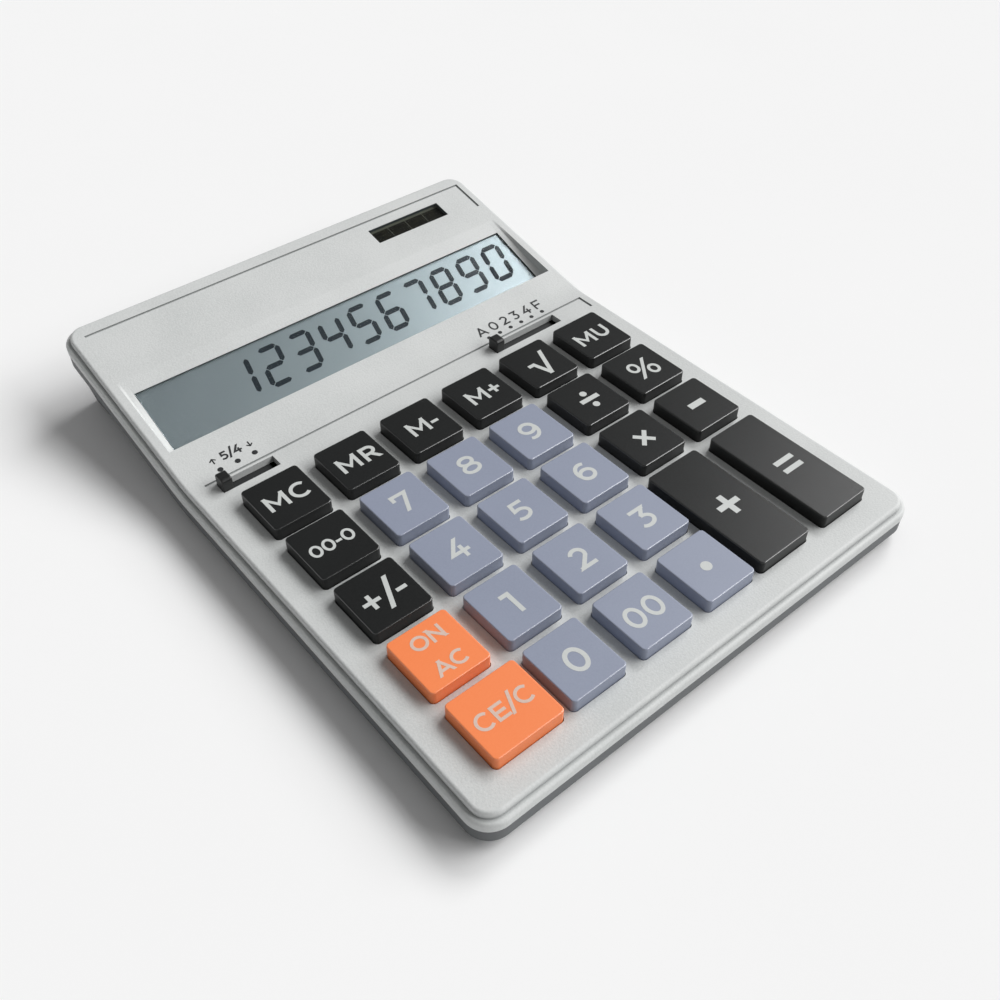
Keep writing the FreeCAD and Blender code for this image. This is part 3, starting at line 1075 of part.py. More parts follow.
# Slide switches: cap in the slot, neck through the bed's slit, shoe below it and a sprung wiper
piece(group("bed_set", beds), "switch_beds")
for switch, (left, length, travel) in SWITCHES.items():
    middle = f"({left} + knob_play + knob_width / 2)"
    cap = new_body(switch + "_cap")
    profile = new_sketch(cap, switch + "_profile", "YZ_Plane")
    half = f"({KNOB_DEPTH} / 2)"
    knob_foot = f"({BED_TOP} + knob_play)"
    knob_top = "(plate_height + knob_rise)"
    outline(profile, [(f"-{half}", knob_foot), (half, knob_foot),
                      (half, f"{knob_top} - knob_round"), (f"{half} - knob_round", knob_top),
                      (f"-({half} - knob_round)", knob_top), (f"-{half}", f"{knob_top} - knob_round")],
            {2: ("knob_round", "left"), 4: ("knob_round", "left")})
    pad(cap, profile, "knob_width", both_ways=True)
    side_place = value("knob_width") / 2
    foot_place = value(knob_foot) + value("knob_play")
    round_edges(cap, "knob_edge", lambda spot: abs(abs(spot.x) - side_place) < 0.01 and spot.z > foot_place)
    place(cap, middle, KNOB_MIDDLE, "0")
    slit_middle = "(slot_front + knob_play + slit_width / 2)"
    neck = box(switch + "_neck", (f"{middle} - neck_width / 2", f"{middle} + neck_width / 2"),
               (f"{slit_middle} - slit_width / 2 + knob_play", f"{slit_middle} + slit_width / 2 - knob_play"),
               (f"{BED_FOOT} - knob_play - {OVERLAP}", f"{BED_TOP} + knob_play + {OVERLAP}"))
    shoe_top = f"({BED_FOOT} - knob_play)"
    shoe_foot = f"({shoe_top} - shoe_thickness)"
    shoe = box(switch + "_shoe", (f"{middle} - shoe_length / 2", f"{middle} + shoe_length / 2"),
               (f"{KNOB_MIDDLE} - shoe_width / 2", f"{KNOB_MIDDLE} + shoe_width / 2"), (shoe_foot, shoe_top))
    leg_foot = f"({BOARD_TOP} + 3 * wiper_thickness)"
    leg = box(switch + "_leg", (f"{middle} - neck_width / 2", f"{middle} + neck_width / 2"),
              (f"{KNOB_MIDDLE} - wiper_width / 2", f"{KNOB_MIDDLE} + wiper_width / 2"),
              (leg_foot, f"{shoe_foot} + knob_play"))
    piece(fuse(switch + "_knob_solid", [cap, neck, shoe, leg]), switch + "_knob")
    wiper = new_body(switch + "_wiper")
    wiper_side = new_sketch(wiper, switch + "_wiper_side", "XZ_Plane")
    mount = "(neck_width / 2)"
    reach = f"({mount} + wiper_reach)"
    low = f"({BOARD_TOP} + knob_play / 2)"
    outline(wiper_side, [(f"-{reach}", f"{low} + wiper_thickness / 2"),
                         (f"-({reach} - 2 * wiper_thickness)", low),
                         (f"-{mount}", f"{leg_foot} - wiper_thickness"),
                         (mount, f"{leg_foot} - wiper_thickness"),
                         (f"{reach} - 2 * wiper_thickness", low), (reach, f"{low} + wiper_thickness / 2"),
                         (f"{reach} - 2 * wiper_thickness", f"{low} + wiper_thickness"),
                         (mount, leg_foot), (f"-{mount}", leg_foot),
                         (f"-({reach} - 2 * wiper_thickness)", f"{low} + wiper_thickness")])
    pad(wiper, wiper_side, "wiper_width", both_ways=True)
    place(wiper, middle, KNOB_MIDDLE, "0")
    piece(wiper, switch + "_contact")

# Button cell in its well, its two contacts and the cover in the base
piece(cylinder("cell_can", "cell_radius", "cell_across", "cell_place", (CELL_FOOT, CELL_TOP)), "button_cell")
cover_top = "(base_height + cover_thickness)"
cover_blank = rounded_block("cover_blank", COVER_HALF, "cover_half_length", "cover_corner",
                            ("base_height", cover_top), COVER_MIDDLE, "cell_place")
cover_bore = cylinder("cover_bore", "screw_radius + screw_play", "cell_across + cover_screw_place",
                      "cell_place", ("0", FLOOR_TOP))
cover_sink = cylinder("cover_sink", "screw_head_radius + screw_play", "cell_across + cover_screw_place",
                      "cell_place", ("0", "base_height + screw_head_height"))
cover_step = cylinder("cover_step", "cell_radius", "cell_across", "cell_place",
                      (f"{cover_top} - {OVERLAP}", CELL_FOOT))
piece(cut("cover_solid", fuse("cover_raised", [cover_blank, cover_step]), [cover_bore, cover_sink]),
      "battery_cover")
piece(screw("cover_screw", "cell_across + cover_screw_place", "cell_place", "base_height",
            f"{FLOOR_TOP} + screw_grip"), "battery_cover_screw")

WELL_TOP = CELL_TOP
cup_ring = cut("cup_ring",
               cylinder("cup_outside", f"{WELL_INNER} - knob_play / 2", "cell_across", "cell_place",
                        (f"{CELL_FOOT} + contact_thickness", WELL_TOP)),
               [cylinder("cup_inside", f"{WELL_INNER} - knob_play / 2 - contact_thickness", "cell_across",
                         "cell_place", (CELL_FOOT, f"{WELL_TOP} + contact_thickness"))])
cup_arc = document.addObject("Part::Common", "cup_arc")
cup_arc.Base = cup_ring
cup_arc.Tool = box("cup_half", ("cell_across - contact_width", "cell_across + contact_width"),
                   ("cell_place", f"cell_place + 2 * {WELL_INNER}"),
                   (CELL_FOOT, f"{WELL_TOP} + contact_thickness"))
cup_tab = box("cup_tab", ("cell_across - contact_width / 2", "cell_across + contact_width / 2"),
              (f"cell_place + {WELL_INNER} - knob_play - contact_thickness",
               f"cell_place + {WELL_INNER} + well_wall + contact_width"),
              (WELL_TOP, f"{WELL_TOP} + contact_thickness"))
piece(fuse("cup_contact", [cup_arc, cup_tab]), "battery_cup_contact")
spring_strip = box("spring_strip", ("cell_across - contact_width / 2", "cell_across + contact_width / 2"),
                   (f"cell_place - {WELL_INNER} - well_wall - contact_width",
                    "cell_place + contact_width / 2"),
                   (WELL_TOP, f"{WELL_TOP} + contact_thickness"))
piece(spring_strip, "battery_spring_contact")

# Leads: from the solar cell and from the battery contacts forward under the display to the board
RISE = value(BOARD_TOP)
LOW = value(f"{FLOOR_TOP} + lead_radius + knob_play")
BOARD_BACK = value("board_rear")


def run_to_board(points, across):
    """The last part of a lead: along the floor, over the board's rear edge and down to the board."""
    return points + [
        Vector(across, BOARD_BACK + 20, LOW),
        Vector(across, BOARD_BACK + 5, LOW + 0.3),
        Vector(across, BOARD_BACK + 1, RISE + 1.2),
        Vector(across, BOARD_BACK - 4, RISE + 1.7),
        Vector(across, BOARD_BACK - 4, RISE),
    ]


solar_leads = []
for index in range(2):
    across = value(f"solar_left + solar_width / 2 + {index + 1} * lead_spacing")
    back_y, back_z = in_case("panel", "solar_front + solar_length / 2", f"-({CELL_BACK} + lead_radius / 3)")
    start = Vector(across, value(back_y), value(back_z))
    down = [start, start + Vector(0, 0, -6), Vector(across, start.y - 3, LOW + 6),
            Vector(across, start.y - 10, LOW + 1)]
    solar_leads.append(tube("solar_lead_%d" % index, run_to_board(down, across), value("lead_radius")))
piece(group("solar_lead_set", solar_leads), "solar_leads")

battery_leads = []
strap_top = value(f"{WELL_TOP} + contact_thickness")
front_tab = value(f"cell_place - {WELL_INNER} - well_wall - contact_width / 2")
rear_tab = value(f"cell_place + {WELL_INNER} + well_wall + contact_width / 2")
cell_x = value("cell_across")
spread = value("lead_spacing")
front_run = [Vector(cell_x, front_tab, strap_top), Vector(cell_x, front_tab, strap_top + 3),
             Vector(cell_x, front_tab - 5, strap_top + 1), Vector(cell_x, front_tab - 12, LOW + 0.6)]
beside = cell_x - value(f"{WELL_INNER} + well_wall") - spread
rear_run = [Vector(cell_x, rear_tab, strap_top), Vector(cell_x, rear_tab, strap_top + 3),
            Vector(cell_x - 9, rear_tab, strap_top - 1), Vector(beside, rear_tab - 9, LOW + 2),
            Vector(beside, front_tab - 6, LOW + 0.3)]
battery_leads.append(tube("battery_lead_front", run_to_board(front_run, cell_x), value("lead_radius")))
battery_leads.append(tube("battery_lead_rear", run_to_board(rear_run, beside), value("lead_radius")))
piece(group("battery_lead_set", battery_leads), "battery_leads")

document.recompute()

# Every object must be sound before anything is written
for item in document.Objects:
    if "Invalid" in item.State or "Error" in item.State:
        raise RuntimeError("%s is %s" % (item.Label, item.State))
labels = [item.Label for item in NODES]
if len(set(labels)) != len(labels):
    raise RuntimeError("two pieces share a name")
for item in NODES:
    if item.Shape.isNull() or not item.Shape.isValid():
        raise RuntimeError("%s has no valid shape" % item.Label)

os.makedirs("parts", exist_ok=True)
for item in NODES:
    item.Shape.exportStep("parts/%s.step" % item.Label)
    extent = item.Shape.BoundBox
    print("%-24s %2d solids %9.1f mm3  x %.1f %.1f  y %.1f %.1f  z %.2f %.2f" % (
        item.Label, len(item.Shape.Solids), item.Shape.Volume, extent.XMin, extent.XMax,
        extent.YMin, extent.YMax, extent.ZMin, extent.ZMax))
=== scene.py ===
import bpy
import numpy as np
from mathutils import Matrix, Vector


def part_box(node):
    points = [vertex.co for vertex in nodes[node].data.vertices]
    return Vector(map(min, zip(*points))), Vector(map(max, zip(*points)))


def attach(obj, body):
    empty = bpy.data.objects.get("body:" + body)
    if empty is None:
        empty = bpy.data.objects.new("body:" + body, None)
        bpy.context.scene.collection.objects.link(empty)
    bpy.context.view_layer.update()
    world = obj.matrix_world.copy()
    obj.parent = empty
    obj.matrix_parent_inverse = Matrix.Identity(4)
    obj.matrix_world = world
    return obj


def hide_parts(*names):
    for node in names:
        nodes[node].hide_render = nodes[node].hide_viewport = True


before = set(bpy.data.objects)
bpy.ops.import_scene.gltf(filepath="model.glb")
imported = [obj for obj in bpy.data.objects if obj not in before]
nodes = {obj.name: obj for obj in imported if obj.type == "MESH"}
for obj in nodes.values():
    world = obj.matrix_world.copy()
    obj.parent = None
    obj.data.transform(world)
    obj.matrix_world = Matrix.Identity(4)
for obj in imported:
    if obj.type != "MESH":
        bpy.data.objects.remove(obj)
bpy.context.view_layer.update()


# Where the photograph was taken from.
# The camera stood at the front left corner, 45 degrees above the table, and looked 40 degrees
# to the right of straight ahead. Its picture is 50 degrees across.
FIELD_ACROSS = 50.0                          # degrees
FILM_WIDTH = 36.0                            # millimetres
NEAREST_SEEN = 0.01                          # metres
CAMERA_PLACE = (-0.1465, -0.1904, 0.2229)    # metres
CAMERA_TURN = (45.0, 0.0, -40.0)             # degrees about X, Y and Z
camera_lens = bpy.data.cameras.new("camera")
camera_lens.sensor_width = FILM_WIDTH
camera_lens.lens = FILM_WIDTH / 2 / np.tan(np.radians(FIELD_ACROSS / 2))
camera_lens.clip_start = NEAREST_SEEN
camera = bpy.data.objects.new("camera", camera_lens)
camera.location = CAMERA_PLACE
camera.rotation_euler = np.radians(CAMERA_TURN)
bpy.context.scene.collection.objects.link(camera)
bpy.context.scene.camera = camera


# The table and the light.
# A matt pale table top and three soft lamps on the right: a large one, a lower one further to the
# front and one a little to the rear. Plain even light from all round lifts the shadows.
def linear(code):
    """A hex colour of the sRGB scale as linear red, green and blue, and alpha 1."""
    part = np.array([int(code[place:place + 2], 16) for place in (1, 3, 5)]) / 255
    part = np.where(part <= 0.04045, part / 12.92, ((part + 0.055) / 1.055) ** 2.4)
    return tuple(part) + (1.0,)


def add(tree, kind, settings, links=None):
    """Adds one node. A setting is one of its inputs, or else a property; a link feeds an input."""
    made = tree.nodes.new(kind)
    for name, value in settings.items():
        if isinstance(name, int) or name in made.inputs:
            made.inputs[name].default_value = value
        else:
            setattr(made, name, value)
    for name, source in (links or {}).items():
        tree.links.new(source, made.inputs[name])
    return made


def new_material(name):
    """A material with its own Principled shader: gives the material, its tree and the shader."""
    material = bpy.data.materials.new(name)
    material.use_nodes = True
    return material, material.node_tree, material.node_tree.nodes["Principled BSDF"]


TABLE_HALF = 3.0                             # metres
TABLE_POINTS = 7                             # along each side of the table's grid
table_mesh = bpy.data.meshes.new("table_top")
side_points = np.linspace(-TABLE_HALF, TABLE_HALF, TABLE_POINTS)
across, along = np.meshgrid(side_points, side_points)
table_points = np.stack([across, along, np.zeros_like(across)], axis=-1).reshape(-1, 3)
cell = np.arange(TABLE_POINTS - 1)
first = (cell[:, None] * TABLE_POINTS + cell).reshape(-1)
corners = np.stack([first, first + 1, first + 1 + TABLE_POINTS, first + TABLE_POINTS], axis=1)
table_mesh.from_pydata(table_points.tolist(), [], corners.tolist())
table_top = bpy.data.objects.new("table_top", table_mesh)
bpy.context.scene.collection.objects.link(table_top)

# Matt painted board: no gloss, and a faint unevenness of the paint
table_paint, tree, shader = new_material("matt_painted_board")
place = add(tree, "ShaderNodeTexCoord", {})
clouds = add(tree, "ShaderNodeTexNoise", {"Scale": 9.0, "Detail": 2.0}, {"Vector": place.outputs["Object"]})
tint = add(tree, "ShaderNodeMix", {"data_type": "RGBA", 6: linear("#F5F5F5"), 7: linear("#F7F7F7")},
           {0: clouds.outputs["Fac"]})
tree.links.new(tint.outputs[2], shader.inputs["Base Color"])
shader.inputs["Roughness"].default_value = 1.0
shader.inputs["Specular IOR Level"].default_value = 0.0
table_mesh.materials.append(table_paint)

# Three soft lamps: name, power in watts per square metre, and in degrees their size, height above
# the table and turn from +X towards the rear
LAMPS = [("front_lamp", 2.1, 40.0, 40.0, -20.0), ("low_lamp", 0.62, 20.0, 32.0, -54.0),
         ("rear_lamp", 1.05, 20.0, 42.0, 16.0)]
for name, power, size, height, turn in LAMPS:
    lamp_light = bpy.data.lights.new(name, "SUN")
    lamp_light.energy = power
    lamp_light.angle = np.radians(size)
    lamp = bpy.data.objects.new(name, lamp_light)
    lamp.rotation_euler = (0.0, np.radians(90.0 - height), np.radians(turn))
    bpy.context.scene.collection.objects.link(lamp)

# The room: a pale wall near the horizon that fades to a dark ceiling, and for diffuse light one
# even level all round
ROOM_LEVEL = 0.23
WALL_LEVEL, CEILING_LEVEL = 0.93, 0.1
WALL_ENDS, CEILING_STARTS = 0.1, 0.55        # heights of the direction looked in, 1 straight up
room = bpy.data.worlds.new("room")
bpy.context.scene.world = room
room.use_nodes = True
tree = room.node_tree
seen = add(tree, "ShaderNodeLightPath", {})
seen_or_gloss = add(tree, "ShaderNodeMath", {"operation": "MAXIMUM"},
                    {0: seen.outputs["Is Camera Ray"], 1: seen.outputs["Is Glossy Ray"]})
shown = add(tree, "ShaderNodeMath", {"operation": "MAXIMUM"},
            {0: seen_or_gloss.outputs[0], 1: seen.outputs["Is Transmission Ray"]})
place = add(tree, "ShaderNodeTexCoord", {})
height = add(tree, "ShaderNodeSeparateXYZ", {}, {"Vector": place.outputs["Generated"]})
wall = add(tree, "ShaderNodeMapRange",
           {"interpolation_type": "SMOOTHSTEP", "From Min": WALL_ENDS, "From Max": CEILING_STARTS,
            "To Min": WALL_LEVEL, "To Max": CEILING_LEVEL}, {"Value": height.outputs["Z"]})
level = add(tree, "ShaderNodeMix", {"data_type": "FLOAT", 2: ROOM_LEVEL},
            {0: shown.outputs[0], 3: wall.outputs["Result"]})
tree.links.new(level.outputs[0], tree.nodes["Background"].inputs["Strength"])
tree.nodes["Background"].inputs["Color"].default_value = linear("#FFFFFF")


# Bottom case, battery cover and feet.
# The lower shell and the small cover are moulded in dark grey ABS with a fine spark-eroded
# texture. Four soft black rubber feet are stuck into shallow seats.
def finish(material, *names):
    """Gives the material to these CAD nodes."""
    for name in names:
        for place in nodes[name].material_slots:
            place.material = material


def moulded(name, colour, darker, grain, depth, roughness, ior=1.53, streak=0.02):
    """Moulded plastic: grain and depth of its texture in millimetres, streak in metres. The grain
    gives a fine bump, specks the colour and breaks the gloss, and a slow change from streak to
    streak varies the colour a little more."""
    material, tree, shader = new_material(name)
    place = add(tree, "ShaderNodeTexCoord", {})
    sparks = add(tree, "ShaderNodeTexNoise", {"Scale": 1000.0 / grain, "Detail": 3.0, "Roughness": 0.6},
                 {"Vector": place.outputs["Object"]})
    flow = add(tree, "ShaderNodeTexNoise", {"Scale": 1.0 / streak, "Detail": 1.0},
               {"Vector": place.outputs["Object"]})
    speck = add(tree, "ShaderNodeMapRange",
                {"From Min": 0.3, "From Max": 0.7, "To Min": 0.0, "To Max": 1.0},
                {"Value": sparks.outputs["Fac"]})
    shade = add(tree, "ShaderNodeMath", {"operation": "MULTIPLY_ADD", 1: 0.6},
                {0: speck.outputs["Result"], 2: flow.outputs["Fac"]})
    tint = add(tree, "ShaderNodeMix", {"data_type": "RGBA", 6: linear(darker), 7: linear(colour)},
               {0: shade.outputs[0]})
    gloss = add(tree, "ShaderNodeMapRange", {"From Min": 0.3, "From Max": 0.7,
                                             "To Min": roughness - 0.04, "To Max": roughness + 0.04},
                {"Value": sparks.outputs["Fac"]})
    relief = add(tree, "ShaderNodeBump", {"Strength": 1.0, "Distance": depth / 1000.0},
                 {"Height": sparks.outputs["Fac"]})
    tree.links.new(tint.outputs[2], shader.inputs["Base Color"])
    tree.links.new(gloss.outputs["Result"], shader.inputs["Roughness"])
    tree.links.new(relief.outputs["Normal"], shader.inputs["Normal"])
    shader.inputs["IOR"].default_value = ior
    return material


# Spark grain of the mould is about 0.1 mm: drawn at 0.45 mm so that it shows from a hand's reach
dark_abs = moulded("spark_textured_dark_abs", "#5E6163", "#585B5D", 0.45, 0.012, 0.55)
finish(dark_abs, "bottom_case", "battery_cover")

# Soft rubber: matt, nearly black, with dust in its skin
foot_rubber = moulded("moulded_rubber", "#2B2B2C", "#222223", 0.8, 0.02, 0.8, ior=1.52)
finish(foot_rubber, "rubber_feet")


# Screws, cell and battery contacts.
# Zinc-plated steel cross-head screws, a bright steel button cell, and thin plated brass for its
# two contacts and the sprung wipers of the switches.
def plated(name, colour, duller, roughness, grain):
    """Plated metal: full metal, with faint cloudy stains of the plating, grain in millimetres."""
    material, tree, shader = new_material(name)
    place = add(tree, "ShaderNodeTexCoord", {})
    cloud = add(tree, "ShaderNodeTexNoise", {"Scale": 1000.0 / grain, "Detail": 4.0},
                {"Vector": place.outputs["Object"]})
    tint = add(tree, "ShaderNodeMix", {"data_type": "RGBA", 6: linear(duller), 7: linear(colour)},
               {0: cloud.outputs["Fac"]})
    gloss = add(tree, "ShaderNodeMapRange", {"To Min": roughness - 0.06, "To Max": roughness + 0.06},
                {"Value": cloud.outputs["Fac"]})
    tree.links.new(tint.outputs[2], shader.inputs["Base Color"])
    tree.links.new(gloss.outputs["Result"], shader.inputs["Roughness"])
    shader.inputs["Metallic"].default_value = 1.0
    return material


finish(plated("zinc_plated_steel", "#C9C7C2", "#AFADA8", 0.32, 1.5),
       "board_screws", "case_screws", "battery_cover_screw")
finish(plated("bright_nickel_on_steel", "#D6D6D4", "#C6C6C4", 0.2, 3.0), "button_cell")
finish(plated("plated_spring_brass", "#CDB26A", "#B89C58", 0.28, 2.0),
       "battery_cup_contact", "battery_spring_contact", "rounding_contact", "decimal_contact")


# Circuit board with its parts.
# Paper laminate under green solder mask, tracks showing through it; a drop of black resin over
# the chip, a small capacitor in its sleeve, red insulated leads and an amber film ribbon.
board_mask, tree, shader = new_material("green_solder_mask")
place = add(tree, "ShaderNodeTexCoord", {})
TRACK_PITCH = 2.54                           # millimetres between tracks
TRACK_RISE = 0.00003                         # metres
tracks = add(tree, "ShaderNodeTexBrick",
             {"Scale": 1000.0 / TRACK_PITCH, "Mortar Size": 0.12, "Brick Width": 3.0, "Row Height": 0.5,
              "offset": 0.37, "Color1": linear("#12602F"), "Color2": linear("#0F5729"),
              "Mortar": linear("#2B8A4A")}, {"Vector": place.outputs["Object"]})
rise = add(tree, "ShaderNodeBump", {"Strength": 0.6, "Distance": TRACK_RISE},
           {"Height": tracks.outputs["Fac"]})
tree.links.new(tracks.outputs["Color"], shader.inputs["Base Color"])
tree.links.new(rise.outputs["Normal"], shader.inputs["Normal"])
shader.inputs["Roughness"].default_value = 0.3
finish(board_mask, "main_board")
finish(moulded("cured_black_resin", "#16161A", "#101013", 1.2, 0.01, 0.28), "chip_cover")
finish(moulded("shrink_sleeve", "#1C2B52", "#172447", 2.0, 0.004, 0.35), "capacitor")
finish(moulded("red_pvc_insulation", "#A3211E", "#8E1B18", 1.0, 0.004, 0.4), "solar_leads", "battery_leads")
finish(moulded("polyimide_film", "#B9812F", "#A67226", 1.5, 0.002, 0.3), "lcd_ribbon")


# Rubber sheet with its domes.
# One sheet of pale silicone rubber, moulded with a dome under each key, and a carbon-filled
# pill in each dome.
silicone, tree, shader = new_material("translucent_silicone")
place = add(tree, "ShaderNodeTexCoord", {})
haze = add(tree, "ShaderNodeTexNoise", {"Scale": 150.0, "Detail": 2.0}, {"Vector": place.outputs["Object"]})
tint = add(tree, "ShaderNodeMix", {"data_type": "RGBA", 6: linear("#B9BCBB"), 7: linear("#C6C9C7")},
           {0: haze.outputs["Fac"]})
tree.links.new(tint.outputs[2], shader.inputs["Base Color"])
shader.inputs["Roughness"].default_value = 0.6
shader.inputs["Subsurface Weight"].default_value = 0.3
shader.inputs["Subsurface Radius"].default_value = (0.001, 0.001, 0.001)
finish(silicone, "key_membrane")
finish(moulded("carbon_filled_rubber", "#1B1B1B", "#141414", 0.5, 0.01, 0.7), "carbon_pills")


# Display.
# A reflective liquid crystal display: two thin glasses in a black plastic frame, a silvery
# reflector film behind, a grey polarising film in front, and ten slanted seven-stroke digits.
# A clear acrylic cover lies over it.
PANEL_TILT = np.radians(12.0)
WINDOW_TILT = np.radians(19.0)
CREASE_PLACE, PLATE_HEIGHT = 32.5, 12.1      # millimetres: where the panel starts to rise
RECESS_REAR = 43.7                           # millimetres up the panel from there


def in_window(across, along, up):
    """A point of the display's own level, in metres: along runs up the window from its rear edge,
    up stands square to it, and both turn by the window's tilt about the X axis."""
    start_y = CREASE_PLACE + RECESS_REAR * np.cos(PANEL_TILT)
    start_z = PLATE_HEIGHT + RECESS_REAR * np.sin(PANEL_TILT)
    return np.stack([across, start_y + along * np.cos(WINDOW_TILT) - up * np.sin(WINDOW_TILT),
                     start_z + along * np.sin(WINDOW_TILT) + up * np.cos(WINDOW_TILT)], axis=-1) / 1000.0


def surface(name, points, faces, material):
    """A flat-faced mesh of these points (n by 3) and faces, linked to the scene."""
    mesh = bpy.data.meshes.new(name)
    mesh.from_pydata(points.tolist(), [], faces)
    mesh.polygons.foreach_set("use_smooth", [False] * len(mesh.polygons))
    mesh.materials.append(material)
    mesh.update()
    piece = bpy.data.objects.new(name, mesh)
    bpy.context.scene.collection.objects.link(piece)
    return piece


def plate(name, across, along, up, corner, edge, to_place, material):
    """A thin plate with rounded corners and softened top edges: the outline is a rounded rectangle,
    each corner a quarter circle, and it is carried up a profile of heights and insets, straight up
    the side and then a quarter circle over the top edge. A flat face closes each end."""
    corner_points, edge_points = 7, 5
    turn = np.linspace(0, np.pi / 2, corner_points)
    quarter = np.concatenate([turn + side * np.pi / 2 for side in range(4)])
    middle_x, middle_y = np.mean(across), np.mean(along)
    half_x, half_y = np.ptp(across) / 2 - corner, np.ptp(along) / 2 - corner
    signs = np.repeat([[1, 1], [-1, 1], [-1, -1], [1, -1]], corner_points, axis=0)
    bow = np.linspace(0, np.pi / 2, edge_points)
    inset = np.concatenate([[0.0], edge * (1 - np.cos(bow))])
    level = np.concatenate([[up[0]], up[1] - edge * (1 - np.sin(bow))])
    radius = (corner - inset)[:, None]
    x = middle_x + signs[:, 0] * half_x + radius * np.cos(quarter)
    y = middle_y + signs[:, 1] * half_y + radius * np.sin(quarter)
    z = np.repeat(level[:, None], len(quarter), axis=1)
    rows, count = x.shape
    ring, step = np.meshgrid(np.arange(rows - 1), np.arange(count), indexing="ij")
    here, beside = ring * count + step, ring * count + (step + 1) % count
    faces = np.stack([here, beside, beside + count, here + count], axis=-1).reshape(-1, 4).tolist()
    faces += [list(range(count))[::-1], list(range((rows - 1) * count, rows * count))]
    return surface(name, to_place(x.ravel(), y.ravel(), z.ravel()), faces, material)


# Sides and ends of the display in millimetres, and the bottom and top of its film, of its digits
# and of its cover, measured from the cover's face
DISPLAY_ACROSS, DISPLAY_ALONG = (-70.4, 70.4), (-30.7, -5.8)
FILM_LEVELS, DIGIT_LEVELS, COVER_LEVELS = (-1.1, -0.94), (-0.96, -0.93), (-0.84, 0.0)
FILM_CORNER, FILM_EDGE = 0.4, 0.04
COVER_CORNER, COVER_EDGE = 0.5, 0.05

# Grey polarising film over a silvery reflector: mostly metal, so that it brightens towards the
# lamps, with the soft haze of an anti-glare coat
film, tree, shader = new_material("polarising_film")
place = add(tree, "ShaderNodeTexCoord", {})
haze = add(tree, "ShaderNodeTexNoise", {"Scale": 60.0, "Detail": 2.0}, {"Vector": place.outputs["Object"]})
tint = add(tree, "ShaderNodeMix", {"data_type": "RGBA", 6: linear("#8A9195"), 7: linear("#90989C")},
           {0: haze.outputs["Fac"]})
tree.links.new(tint.outputs[2], shader.inputs["Base Color"])
shader.inputs["Metallic"].default_value = 0.7
shader.inputs["Roughness"].default_value = 0.35
front_film = plate("display_film", DISPLAY_ACROSS, DISPLAY_ALONG, FILM_LEVELS, FILM_CORNER, FILM_EDGE,
                   in_window, film)
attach(front_film, "case")
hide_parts("lcd_front_polariser")

# Clear acrylic: polished, its sawn edges blackened. Shadow and diffuse light pass straight through
# it, and a face is an edge where it leans more than 60 degrees from the window's own level.
clear_acrylic, tree, shader = new_material("clear_acrylic")
place = add(tree, "ShaderNodeTexCoord", {})
ripple = add(tree, "ShaderNodeTexNoise", {"Scale": 40.0, "Detail": 1.0}, {"Vector": place.outputs["Object"]})
polish = add(tree, "ShaderNodeMapRange", {"To Min": 0.02, "To Max": 0.06}, {"Value": ripple.outputs["Fac"]})
tree.links.new(polish.outputs["Result"], shader.inputs["Roughness"])
shader.inputs["Base Color"].default_value = linear("#FBFDFD")
shader.inputs["Transmission Weight"].default_value = 1.0
shader.inputs["IOR"].default_value = 1.49
shader.inputs["Specular IOR Level"].default_value = 0.12      # a hard coat takes most of the glare
through = add(tree, "ShaderNodeBsdfTransparent", {"Color": linear("#F4F8F8")})
ray = add(tree, "ShaderNodeLightPath", {})
passing = add(tree, "ShaderNodeMath", {"operation": "MAXIMUM"},
              {0: ray.outputs["Is Shadow Ray"], 1: ray.outputs["Is Diffuse Ray"]})
window_up = (0.0, -np.sin(WINDOW_TILT), np.cos(WINDOW_TILT))
facing = add(tree, "ShaderNodeVectorMath", {"operation": "DOT_PRODUCT", 1: window_up},
             {0: place.outputs["Normal"]})
steep = add(tree, "ShaderNodeMath", {"operation": "ABSOLUTE"}, {0: facing.outputs["Value"]})
sawn = add(tree, "ShaderNodeMath", {"operation": "LESS_THAN", 1: 0.5}, {0: steep.outputs[0]})
black_edge = add(tree, "ShaderNodeBsdfDiffuse", {"Color": linear("#4A4E4F")})
body = add(tree, "ShaderNodeMixShader", {},
           {0: sawn.outputs[0], 1: shader.outputs["BSDF"], 2: black_edge.outputs["BSDF"]})
mixed = add(tree, "ShaderNodeMixShader", {},
            {0: passing.outputs[0], 1: body.outputs["Shader"], 2: through.outputs["BSDF"]})
tree.links.new(mixed.outputs[0], tree.nodes["Material Output"].inputs["Surface"])
cover = plate("display_cover", DISPLAY_ACROSS, DISPLAY_ALONG, COVER_LEVELS, COVER_CORNER, COVER_EDGE,
              in_window, clear_acrylic)
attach(cover, "case")
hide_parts("display_lens")


def drawn(path, pen, start="square", end="square", closed=False):
    """Both edges of a stroke along a path: each point moves sideways by half the pen's width, along
    the mitre of the two runs that meet there. A square end goes on by half the width, a level
    end is cut along the line of writing, and a butt end stops where the path does."""
    path = np.array(path, dtype=float)
    pen = np.broadcast_to(np.asarray(pen, dtype=float), len(path))
    run = np.diff(np.vstack([path, path[:1]]) if closed else path, axis=0)
    run /= np.linalg.norm(run, axis=1)[:, None]
    before = np.roll(run, 1, axis=0) if closed else np.vstack([run[:1], run])
    after = run if closed else np.vstack([run, run[-1:]])
    square = [np.stack([-way[:, 1], way[:, 0]], axis=1) for way in (before, after)]
    mitre = (square[0] + square[1]) / (1 + (square[0] * square[1]).sum(axis=1))[:, None]
    for spot, way, kind, sign in ((0, run[0], start, -1), (-1, run[-1], end, 1)):
        if closed or kind == "butt":
            continue
        reach = pen[spot] / 2 / (abs(way[1]) if kind == "level" else 1.0)
        path[spot] += sign * reach * way
        if kind == "level":
            mitre[spot] = (-np.sign(way[1]) / abs(way[1]), 0.0)
    side = mitre * pen[:, None] / 2
    return path + side, path - side, closed


